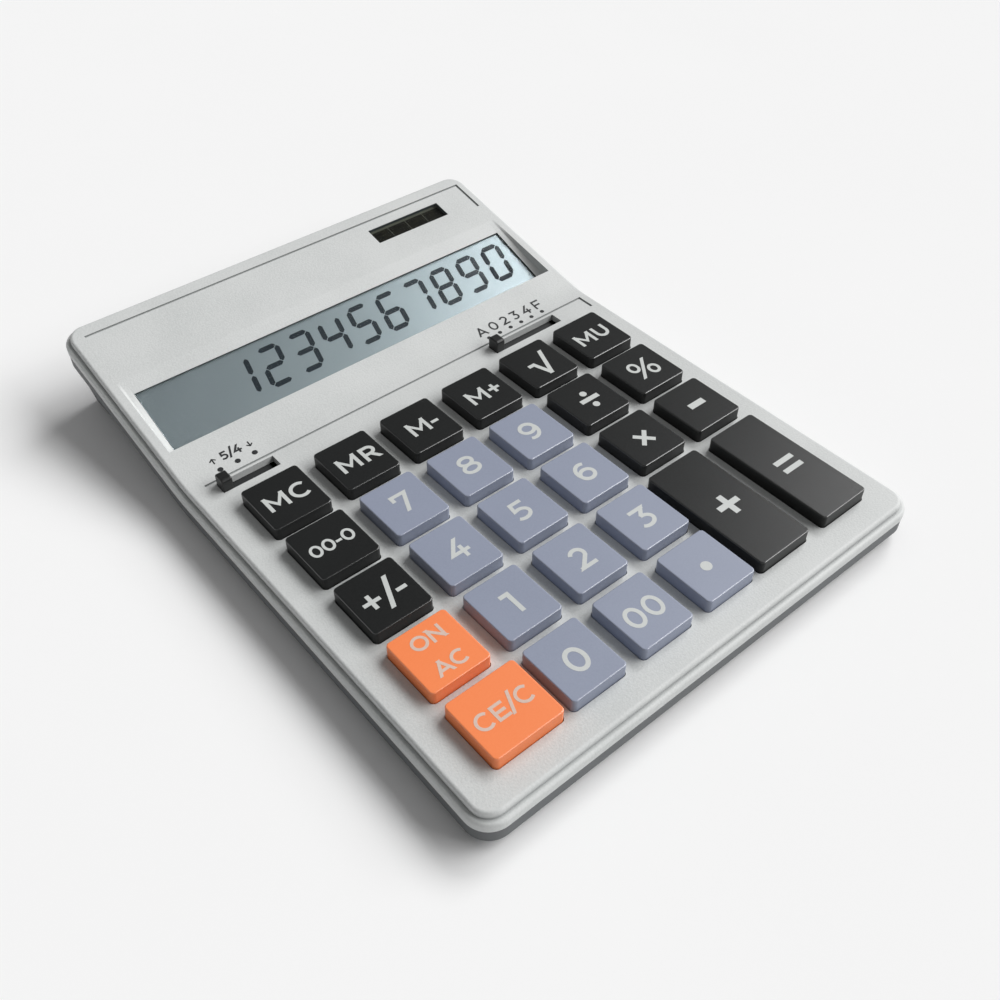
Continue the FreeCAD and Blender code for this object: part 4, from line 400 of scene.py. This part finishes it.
def inked(name, strokes, under, over, to_place, material):
    """Thin printed strokes: each stroke's two edges are given a lower and an upper height, which
    makes a flat bar whose four-cornered section follows the stroke. Each bar stands a hair
    higher than the last, so that none share a face."""
    hair = 0.002
    points, faces, start = [], [], 0
    for rank, (left, right, closed) in enumerate(strokes):
        top = over + rank * hair
        section = [(left, under), (left, top), (right, top), (right, under)]
        grid = np.stack([to_place(edge[:, 0], edge[:, 1], np.full(len(edge), height))
                         for edge, height in section], axis=1)
        count = len(left)
        row, column = np.meshgrid(np.arange(count if closed else count - 1), np.arange(4), indexing="ij")
        after, beside = (row + 1) % count * 4, (column + 1) % 4
        quads = np.stack([row * 4 + column, row * 4 + beside, after + beside, after + column], axis=-1)
        faces += (quads + start).reshape(-1, 4).tolist()
        if not closed:
            last = start + (count - 1) * 4
            faces += [[start + 3, start + 2, start + 1, start], [last, last + 1, last + 2, last + 3]]
        points.append(grid.reshape(-1, 3))
        start += count * 4
    return surface(name, np.vstack(points), faces, material)


# Switched liquid crystal: nearly black, dull
crystal = moulded("switched_liquid_crystal", "#131D26", "#0F171E", 1.0, 0.001, 0.36)
crystal.node_tree.nodes["Principled BSDF"].inputs["Specular IOR Level"].default_value = 0.2
DIGIT_PITCH, DIGIT_SLANT = 11.33, 0.181      # millimetres, and millimetres across for each one up
DIGIT_MIDDLE, LAST_DIGIT = -16.5, 62.05      # along and across, in millimetres
DIGIT_HALF_WIDTH, DIGIT_HALF_HEIGHT = 3.25, 6.75
# A bar's half length and width, the length of its pointed ends and the share of width at their tips
BAR_HALF, BAR_WIDTH, SHOULDER, TIP_SHARE = 3.05, 1.8, 0.8, 0.1
# The seven bars: middle across, middle up, and whether upright
BARS = {"a": (0, 1, False), "b": (1, 0.5, True), "c": (1, -0.5, True), "d": (0, -1, False),
        "e": (-1, -0.5, True), "f": (-1, 0.5, True), "g": (0, 0, False)}
DIGIT_BARS = ["bc", "abged", "abgcd", "fgbc", "afgcd", "afgecd", "abc", "abcdefg", "abcdfg", "abcdef"]
digit_strokes = []
for rank, bars in enumerate(DIGIT_BARS):
    middle = LAST_DIGIT - DIGIT_PITCH * (len(DIGIT_BARS) - 1 - rank)
    for bar in bars:
        across, up, upright = BARS[bar]
        line = np.array([-BAR_HALF, SHOULDER - BAR_HALF, BAR_HALF - SHOULDER, BAR_HALF])
        flat = np.zeros(4)
        path = np.stack([flat, line] if upright else [line, flat], axis=1)
        path += (across * DIGIT_HALF_WIDTH, up * DIGIT_HALF_HEIGHT)
        widths = BAR_WIDTH * np.array([TIP_SHARE, 1, 1, TIP_SHARE])
        left, right, closed = drawn(path, widths, "butt", "butt")
        lean = [np.stack([edge[:, 0] + DIGIT_SLANT * edge[:, 1] + middle, edge[:, 1] + DIGIT_MIDDLE], axis=1)
                for edge in (left, right)]
        digit_strokes.append((lean[0], lean[1], closed))
digits = inked("display_digits", digit_strokes, *DIGIT_LEVELS, in_window, crystal)
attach(digits, "case")

# Thin display glass, and behind it a silvered film; the frame and the switch beds are black ABS
display_glass, tree, shader = new_material("display_glass")
place = add(tree, "ShaderNodeTexCoord", {})
ripple = add(tree, "ShaderNodeTexNoise", {"Scale": 30.0}, {"Vector": place.outputs["Object"]})
polish = add(tree, "ShaderNodeMapRange", {"To Min": 0.02, "To Max": 0.05}, {"Value": ripple.outputs["Fac"]})
tree.links.new(polish.outputs["Result"], shader.inputs["Roughness"])
shader.inputs["Base Color"].default_value = linear("#E8F0EC")
shader.inputs["Transmission Weight"].default_value = 0.9
shader.inputs["IOR"].default_value = 1.52
finish(display_glass, "lcd_front_glass", "lcd_rear_glass")
finish(plated("silvered_reflector_film", "#C3C8C4", "#B4B9B5", 0.45, 4.0), "lcd_reflector")
finish(moulded("black_abs", "#1E2021", "#17191A", 0.6, 0.012, 0.55), "lcd_frame", "switch_beds")


# Solar cell.
# A strip of amorphous silicon on glass: brown-black, split by hairlines into four cells, with a
# pale collector strip along its rear edge, under its own clear window.
CELL_SPAN, CELL_COUNT = (30.9, 60.6), 4      # millimetres across
HAIRLINE = 0.012                             # half a line's width as a share of a cell
STREAKS = (350.0, 1100.0, 1100.0)            # streaks to the metre: longer across than along
STRIP_START, STRIP_BLUR = 0.0917, 0.0003     # metres along
silicon, tree, shader = new_material("amorphous_silicon_on_glass")
place = add(tree, "ShaderNodeTexCoord", {})
parts = add(tree, "ShaderNodeSeparateXYZ", {}, {"Vector": place.outputs["Object"]})
CELL_WIDTH = (CELL_SPAN[1] - CELL_SPAN[0]) / CELL_COUNT / 1000.0
share = add(tree, "ShaderNodeMath", {"operation": "MULTIPLY_ADD", 1: 1 / CELL_WIDTH,
                                     2: -CELL_SPAN[0] / 1000.0 / CELL_WIDTH}, {0: parts.outputs["X"]})
within = add(tree, "ShaderNodeMath", {"operation": "PINGPONG", 1: 0.5}, {0: share.outputs[0]})
line = add(tree, "ShaderNodeMath", {"operation": "LESS_THAN", 1: HAIRLINE}, {0: within.outputs[0]})
streaks = add(tree, "ShaderNodeMapping", {"Scale": STREAKS}, {"Vector": place.outputs["Object"]})
mottle = add(tree, "ShaderNodeTexNoise", {"Scale": 1.0, "Detail": 3.0},
             {"Vector": streaks.outputs["Vector"]})
spread = add(tree, "ShaderNodeMapRange", {"From Min": 0.35, "From Max": 0.65},
             {"Value": mottle.outputs["Fac"]})
deep = add(tree, "ShaderNodeMix", {"data_type": "RGBA", 6: linear("#050502"), 7: linear("#1F1D12")},
           {0: spread.outputs["Result"]})
strip = add(tree, "ShaderNodeMapRange",
            {"From Min": STRIP_START, "From Max": STRIP_START + STRIP_BLUR, "To Max": 0.8},
            {"Value": parts.outputs["Y"]})
pale = add(tree, "ShaderNodeMath", {"operation": "MAXIMUM"}, {0: line.outputs[0], 1: strip.outputs["Result"]})
tint = add(tree, "ShaderNodeMix", {"data_type": "RGBA", 7: linear("#6A6B60")},
           {0: pale.outputs[0], 6: deep.outputs[2]})
tree.links.new(tint.outputs[2], shader.inputs["Base Color"])
shader.inputs["Roughness"].default_value = 0.4
shader.inputs["Specular IOR Level"].default_value = 0.1
finish(silicon, "solar_cell")
finish(clear_acrylic, "solar_lens")


# Top case.
# The upper shell is one moulding of pale grey ABS, its texture a little coarser and its two rules
# engraved. The switch markings are pad-printed in dark ink.
pale_abs = moulded("spark_textured_pale_abs", "#CED0CF", "#BCBFBE", 0.6, 0.065, 0.5)
finish(pale_abs, "top_case")

# Painted shade in narrow grooves: the colour darkens where the case itself hides the
# open air within this many metres, from the second to the first of these open shares
GROOVE_REACH = 0.0014
GROOVE_SHARES = (0.35, 0.9)
tree, shader = pale_abs.node_tree, pale_abs.node_tree.nodes["Principled BSDF"]
open_air = add(tree, "ShaderNodeAmbientOcclusion",
               {"samples": 8, "only_local": True, "Distance": GROOVE_REACH})
share = add(tree, "ShaderNodeMapRange", {"From Min": GROOVE_SHARES[0], "From Max": GROOVE_SHARES[1]},
            {"Value": open_air.outputs["AO"]})
unshaded_colour = shader.inputs["Base Color"].links[0].from_socket
# painted shade: where the open air is hidden, the colour is mixed towards this darker grey
groove_painted_shade = add(tree, "ShaderNodeMix", {"data_type": "RGBA", 6: linear("#9A9D9D")},
            {0: share.outputs["Result"], 7: unshaded_colour})
tree.links.new(groove_painted_shade.outputs[2], shader.inputs["Base Color"])

BEND_RADIUS = 40.0                           # millimetres: the bend between plate and panel
BEND_RUN = BEND_RADIUS * np.tan(PANEL_TILT / 2)


def on_panel(across, along, up):
    """A point of the top's skin in metres: along is measured from the crease, on the level plate
    behind zero, on the bend a circle's arc, and on the panel the slope, and up is square to it."""
    turn = np.clip((along + BEND_RUN) / (2 * BEND_RUN), 0, 1) * PANEL_TILT
    rest = along - np.clip(along, -BEND_RUN, BEND_RUN)
    y = CREASE_PLACE - BEND_RUN + BEND_RADIUS * np.sin(turn)
    y = y + np.where(rest > 0, rest * np.cos(PANEL_TILT), rest)
    z = PLATE_HEIGHT + BEND_RADIUS * (1 - np.cos(turn))
    z = z + np.where(rest > 0, rest * np.sin(PANEL_TILT), 0)
    return np.stack([across, y - up * np.sin(turn), z + up * np.cos(turn)], axis=-1) / 1000.0


def arc(across, up, half_width, half_height, start, stop, count=28):
    """Points on an ellipse from one angle to another, in degrees."""
    angle = np.radians(np.linspace(start, stop, count))
    return np.stack([across + half_width * np.cos(angle), up + half_height * np.sin(angle)], axis=1)


def oval(across, up, half_width, half_height, count=40):
    """The whole ellipse, without its last point twice."""
    return arc(across, up, half_width, half_height, 0, 360, count + 1)[:-1]


def straight(*points):
    """A path through these points."""
    return np.array(points, dtype=float)


# Plain sans-serif letter shapes, drawn by one pen in a box one wide and one high:
# path, how it starts, how it ends, and whether it closes on itself
SQUARE, LEVEL, BUTT = "square", "level", "butt"
STEM = (straight((0, 0), (0, 1)), SQUARE, SQUARE, False)
FAR_STEM = (straight((1, 0), (1, 1)), SQUARE, SQUARE, False)
NINE = [(arc(0.42, 0.5, 0.58, 0.5, -118, 90), BUTT, BUTT, False),
        (oval(0.47, 0.69, 0.47, 0.31), BUTT, BUTT, True)]
LETTERS = {
    "M": [STEM, FAR_STEM, (straight((0.02, 1), (0.5, 0.24), (0.98, 1)), LEVEL, LEVEL, False)],
    "C": [(arc(0.6, 0.5, 0.6, 0.5, 47, 313), BUTT, BUTT, False)],
    "R": [STEM, (np.vstack([straight((0, 1)), arc(0.5, 0.715, 0.45, 0.285, 90, -90), straight((0, 0.43))]),
                 BUTT, BUTT, False),
          (straight((0.52, 0.43), (0.94, 0)), BUTT, LEVEL, False)],
    "U": [(np.vstack([straight((0, 1)), arc(0.5, 0.42, 0.5, 0.42, 180, 360), straight((1, 1))]),
           SQUARE, SQUARE, False)],
    "O": [(oval(0.5, 0.5, 0.5, 0.5), BUTT, BUTT, True)],
    "0": [(oval(0.5, 0.5, 0.5, 0.5), BUTT, BUTT, True)],
    "N": [STEM, FAR_STEM, (straight((0.0, 1), (1, 0)), LEVEL, LEVEL, False)],
    "A": [(straight((0, 0), (0.5, 1)), LEVEL, LEVEL, False),
          (straight((1, 0), (0.5, 1)), LEVEL, LEVEL, False),
          (straight((0.2, 0.27), (0.8, 0.27)), BUTT, BUTT, False)],
    "E": [STEM] + [(straight((0, level), (reach, level)), BUTT, SQUARE, False)
                   for level, reach in ((0, 1), (0.5, 0.9), (1, 1))],
    "F": [STEM] + [(straight((0, level), (reach, level)), BUTT, SQUARE, False)
                   for level, reach in ((0.47, 0.85), (1, 1))],
    "1": [(straight((0, 1), (1, 1), (1, 0)), SQUARE, SQUARE, False)],
    "2": [(np.vstack([arc(0.47, 0.69, 0.47, 0.31, 157, -28), straight((0.06, 0.0))]), BUTT, LEVEL, False),
          (straight((0.02, 0), (1, 0)), SQUARE, SQUARE, False)],
    "3": [(straight((0.03, 1), (0.9, 1)), SQUARE, SQUARE, False),
          (straight((0.92, 1), (0.42, 0.59)), LEVEL, BUTT, False),
          (arc(0.44, 0.3, 0.56, 0.3, 98, -142), BUTT, BUTT, False)],
    "4": [(straight((0.76, 1), (0.13, 0.276), (1, 0.276)), LEVEL, SQUARE, False),
          (straight((0.755, 0), (0.755, 0.62)), SQUARE, BUTT, False)],
    "5": [(straight((0.93, 1), (0.2, 1), (0.13, 0.57), (0.42, 0.6)), SQUARE, BUTT, False),
          (arc(0.42, 0.3, 0.58, 0.3, 95, -138), BUTT, BUTT, False)],
    "6": [(1 - path, start, end, closed) for path, start, end, closed in NINE],
    "7": [(straight((0, 0.78), (0, 1), (0.93, 1), (0.36, 0)), SQUARE, LEVEL, False)],
    "8": [(oval(0.5, 0.76, 0.43, 0.24), BUTT, BUTT, True), (oval(0.5, 0.26, 0.5, 0.26), BUTT, BUTT, True)],
    "9": NINE,
    "-": [(straight((0, 0.5), (1, 0.5)), SQUARE, SQUARE, False)],
    "+": [(straight((0, 0.5), (1, 0.5)), SQUARE, SQUARE, False),
          (straight((0.5, 0), (0.5, 1)), SQUARE, SQUARE, False)],
    "/": [(straight((0, 0), (1, 1)), LEVEL, LEVEL, False)],
    "x": [(straight((0, 0), (1, 1)), BUTT, BUTT, False), (straight((0, 1), (1, 0)), BUTT, BUTT, False)],
    "root": [(straight((0, 0.6), (0.2, 0.6), (0.47, 0)), SQUARE, LEVEL, False),
             (straight((0.5, 0), (1, 1)), LEVEL, LEVEL, False)],
    "up": [(straight((0.5, 0), (0.5, 0.95)), SQUARE, BUTT, False),
           (straight((0, 0.55), (0.5, 1), (1, 0.55)), BUTT, BUTT, False)],
    "down": [(straight((0.5, 1), (0.5, 0.05)), SQUARE, BUTT, False),
             (straight((0, 0.45), (0.5, 0), (1, 0.45)), BUTT, BUTT, False)],
}
RUN_PENS = 2.5                               # a run is divided into parts of this many pens
THIN_SLANTS = {"M": 0.82}                    # share of the pen for a letter's slanting strokes


def letter(shape, left, right, foot, top, pen):
    """The strokes of one letter that fills a box: its paths are stretched to the box less the pen's
    width, their straight runs divided into short ones, and then drawn with the pen."""
    strokes = []
    for path, start, end, closed in LETTERS[shape]:
        stretched = np.array([left + pen / 2, foot + pen / 2]) + path * (right - left - pen, top - foot - pen)
        width = pen * THIN_SLANTS.get(shape, 1.0) if start == end == LEVEL else pen
        if not closed:
            runs = np.linalg.norm(np.diff(stretched, axis=0), axis=1)
            far = np.concatenate([[0], np.cumsum(runs)])
            parts = np.maximum(np.floor(runs / (RUN_PENS * pen)), 1).astype(int)
            ranks = np.arange(parts.sum()) - np.repeat(np.cumsum(parts) - parts, parts)
            spots = np.repeat(far[:-1], parts) + ranks * np.repeat(runs / parts, parts)
            spots = np.append(spots, far[-1])
            stretched = np.stack([np.interp(spots, far, stretched[:, axis]) for axis in (0, 1)], axis=1)
        strokes.append(drawn(stretched, width, start, end, closed))
    return strokes


def disc(across, up, radius):
    """A round dot: one stroke along its middle whose width is the chord of the circle there. It
    stops just short of the circle's ends, where the chord would be nothing."""
    count, short = 25, 0.02
    angle = np.linspace(-np.pi / 2 + short, np.pi / 2 - short, count)
    path = np.stack([across + radius * np.sin(angle), np.full(count, up)], axis=1)
    return [drawn(path, 2 * radius * np.cos(angle), BUTT, BUTT)]


# Pad-printing ink: dark grey, a little glossier than the texture it lies on
dark_ink = moulded("dark_pad_printing_ink", "#191C1E", "#15181A", 0.5, 0.002, 0.6)
MARK_PEN, ARROW_PEN = 0.62, 0.42             # millimetres
INK_LEVELS = (-0.05, 0.03)                   # bottom and top of the ink from the plastic's skin
# Rows of dots: places across, place along and radius
DOT_ROWS = [((-64.4, -58.75, -53.1), -0.7, 0.86), ((34.5, 39.15, 43.75, 48.35, 52.9, 57.6), -1.7, 0.7)]
# Shape, left, right, foot and top of each mark, across from the middle and along from the crease
marks = []
for shape, left, right, foot, top, pen in (
        ("up", -65.85, -63.45, 2.0, 4.2, ARROW_PEN), ("5", -62.1, -59.8, 1.8, 4.95, MARK_PEN),
        ("/", -59.7, -57.75, 1.5, 5.6, MARK_PEN), ("4", -58.2, -55.3, 1.8, 5.1, MARK_PEN),
        ("down", -53.9, -51.6, 2.05, 4.15, ARROW_PEN), ("A", 32.4, 36.1, 0.1, 4.0, MARK_PEN),
        ("0", 37.8, 40.95, 0.1, 4.05, MARK_PEN), ("2", 42.65, 45.55, 0.2, 4.05, MARK_PEN),
        ("3", 47.2, 50.0, 0.15, 4.05, MARK_PEN), ("4", 51.55, 55.15, 0.05, 4.05, MARK_PEN),
        ("F", 56.95, 59.95, 0.1, 4.05, MARK_PEN)):
    marks += letter(shape, left, right, foot, top, pen)
for places, along, radius in DOT_ROWS:
    for across in places:
        marks += disc(across, along, radius)
markings = inked("switch_markings", marks, *INK_LEVELS, on_panel, dark_ink)
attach(markings, "case")


# Keycaps.
# Twenty-eight hollow caps moulded in ABS: black for the functions, blue-grey for the numbers and
# orange for clearing. The legends are printed on their flat tops in pale ink.
black_abs = moulded("satin_black_abs", "#232424", "#1D1E1E", 0.5, 0.009, 0.33)
blue_grey_abs = moulded("satin_blue_grey_abs", "#8F96A9", "#888FA2", 0.5, 0.008, 0.45)
orange_abs = moulded("satin_orange_abs", "#FA8A50", "#F78449", 0.5, 0.005, 0.45)
POLISH_IOR = 1.8                             # of the skin that handling leaves on the edges


def burnished(material, shine, edge_roughness):
    """Gives the faces their shine, and the rounded edges a second, stronger one, because fingers
    polish them. The edge's share is 4 z2 (1 - z2) of the normal's height z, which is one at
    45 degrees and none on level and upright faces."""
    tree, shader = material.node_tree, material.node_tree.nodes["Principled BSDF"]
    normal = add(tree, "ShaderNodeNewGeometry", {})
    parts = add(tree, "ShaderNodeSeparateXYZ", {}, {"Vector": normal.outputs["Normal"]})
    square = add(tree, "ShaderNodeMath", {"operation": "MULTIPLY"},
                 {0: parts.outputs["Z"], 1: parts.outputs["Z"]})
    rest = add(tree, "ShaderNodeMath", {"operation": "SUBTRACT", 0: 1.0}, {1: square.outputs[0]})
    both = add(tree, "ShaderNodeMath", {"operation": "MULTIPLY"}, {0: square.outputs[0], 1: rest.outputs[0]})
    edge = add(tree, "ShaderNodeMath", {"operation": "MULTIPLY", 1: 4.0, "use_clamp": True},
               {0: both.outputs[0]})
    tree.links.new(edge.outputs[0], shader.inputs["Coat Weight"])
    shader.inputs["Specular IOR Level"].default_value = shine
    shader.inputs["Coat Roughness"].default_value = edge_roughness
    shader.inputs["Coat IOR"].default_value = POLISH_IOR


# Carbon black in the black plastic takes the shine of its faces down
burnished(black_abs, 0.19, 0.16)
burnished(blue_grey_abs, 0.5, 0.2)
burnished(orange_abs, 0.5, 0.2)
ORANGE_KEYS = ["key_on_all_clear", "key_clear_entry"]
BLUE_KEYS = ["key_" + word for word in ("one", "two", "three", "four", "five", "six", "seven", "eight",
                                        "nine", "zero", "double_zero", "decimal_point")]
# Shape and box of each sign in millimetres from the middle of its key: left, right, foot, top, pen
LEGENDS = {
    "memory_clear": [("M", -6.2, 0.2, -3.2, 2.9, 1.12), ("C", 1.3, 6.7, -3.35, 2.95, 1.1)],
    "memory_recall": [("M", -5.9, 0.5, -3.25, 2.85, 1.12), ("R", 1.95, 6.85, -3.25, 2.85, 1.12)],
    "memory_minus": [("M", -4.5, 1.95, -3.4, 2.65, 1.12), ("-", 2.85, 5.35, -1.62, -0.53, 1.09)],
    "memory_plus": [("M", -5.33, 1.13, -3.5, 2.6, 1.12), ("+", 2.2, 6.1, -2.5, 1.47, 1.05)],
    "square_root": [("root", -3.95, 4.7, -6.5, 4.65, 1.35)],
    "mark_up": [("M", -6.5, -0.2, -3.25, 2.6, 1.12), ("U", 1.0, 5.95, -3.25, 2.6, 1.12)],
    "backspace": [("0", -6.7, -3.15, -2.2, 2.3, 0.8), ("0", -2.85, 0.7, -2.2, 2.3, 0.8),
                  ("-", 1.05, 2.8, -0.75, 0.15, 0.85), ("0", 3.15, 6.75, -2.2, 2.3, 0.8)],
    "seven": [("7", -2.65, 3.2, -3.5, 4.0, 1.2)],
    "eight": [("8", -3.1, 2.9, -3.5, 4.1, 1.2)],
    "nine": [("9", -3.3, 2.7, -3.6, 4.0, 1.2)],
    "percent": [("0", -4.5, -0.4, -0.9, 3.9, 1.0), ("0", 0.7, 4.8, -4.6, 0.0, 1.0),
                ("/", -3.2, 3.45, -4.5, 3.9, 1.05)],
    "change_sign": [("+", -6.2, -1.1, -3.1, 2.1, 1.2), ("/", -0.75, 4.0, -5.4, 4.9, 1.3),
                    ("-", 3.3, 6.4, -1.9, -0.7, 1.2)],
    "four": [("4", -3.2, 3.4, -3.75, 3.65, 1.15)],
    "five": [("5", -3.5, 1.95, -3.6, 3.65, 1.15)],
    "six": [("6", -3.0, 2.9, -3.7, 3.7, 1.2)],
    "multiply": [("x", -2.8, 3.2, -3.8, 2.4, 1.4)],
    "minus": [("-", -2.9, 3.1, -1.1, 1.2, 2.25)],
    "on_all_clear": [("O", -4.6, 0.1, 2.1, 6.7, 0.85), ("N", 0.65, 4.7, 2.1, 6.7, 0.85),
                     ("A", -4.4, 0.1, -7.0, -2.4, 0.85), ("C", 0.4, 4.6, -7.0, -2.4, 0.85)],
    "one": [("1", -2.1, 1.1, -4.1, 3.3, 1.3)],
    "two": [("2", -2.6, 2.9, -4.1, 3.4, 1.2)],
    "three": [("3", -2.9, 2.8, -4.2, 3.4, 1.2)],
    "plus": [("+", -3.75, 4.0, -4.2, 3.35, 1.9)],
    "equals": [("-", -3.2, 4.1, 0.5, 2.25, 1.72), ("-", -3.2, 4.1, -3.15, -1.45, 1.72)],
    "clear_entry": [("C", -8.35, -4.0, -2.6, 2.5, 0.85), ("E", -3.2, 0.5, -2.5, 2.3, 0.85),
                    ("/", 0.6, 3.6, -2.9, 3.4, 0.85), ("C", 3.4, 7.8, -2.6, 2.5, 0.85)],
    "zero": [("0", -2.9, 3.2, -4.4, 3.2, 1.25)],
    "double_zero": [("0", -6.0, -0.6, -4.1, 2.75, 1.15), ("0", 0.3, 5.7, -4.1, 2.75, 1.15)],
    "divide": [("-", -3.2, 3.7, -1.25, 0.5, 1.72)],
    "decimal_point": [],
}
# Round dots of a key: across and up from its middle, and radius
DOTS = {"divide": [(0.2, 2.5, 1.13), (0.2, -3.4, 1.13)], "decimal_point": [(-0.15, -0.4, 1.6)]}
# Legend ink is pale, and on orange it takes on some of the warmth
pale_ink = moulded("pale_legend_ink", "#C9CCCA", "#BFC2C0", 0.6, 0.002, 0.5)
warm_ink = moulded("warm_legend_ink", "#D9C0B2", "#CDB3A4", 0.6, 0.002, 0.5)
for word, signs in LEGENDS.items():
    name = "key_" + word
    finish(orange_abs if name in ORANGE_KEYS else blue_grey_abs if name in BLUE_KEYS else black_abs, name)
    low, high = np.array(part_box(name)) * 1000.0
    middle_x, middle_y, key_top = (low[0] + high[0]) / 2, (low[1] + high[1]) / 2, high[2]
    strokes = [stroke for sign in signs for stroke in letter(*sign)]
    strokes += [stroke for dot in DOTS.get(word, ()) for stroke in disc(*dot)]
    legend = inked("legend_" + word, strokes, *INK_LEVELS,
                   lambda x, y, up: np.stack([x + middle_x, y + middle_y, key_top + up], axis=-1) / 1000.0,
                   warm_ink if name in ORANGE_KEYS else pale_ink)
    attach(legend, name + "_cap")


# Slide switch knobs.
# Two small black knobs, moulded in acetal, which run in the slots.
finish(moulded("satin_black_acetal", "#1C1D1D", "#171818", 0.5, 0.005, 0.36, ior=1.48),
       "rounding_knob", "decimal_knob")


# Done.
bpy.context.scene.view_settings.view_transform = "Standard"
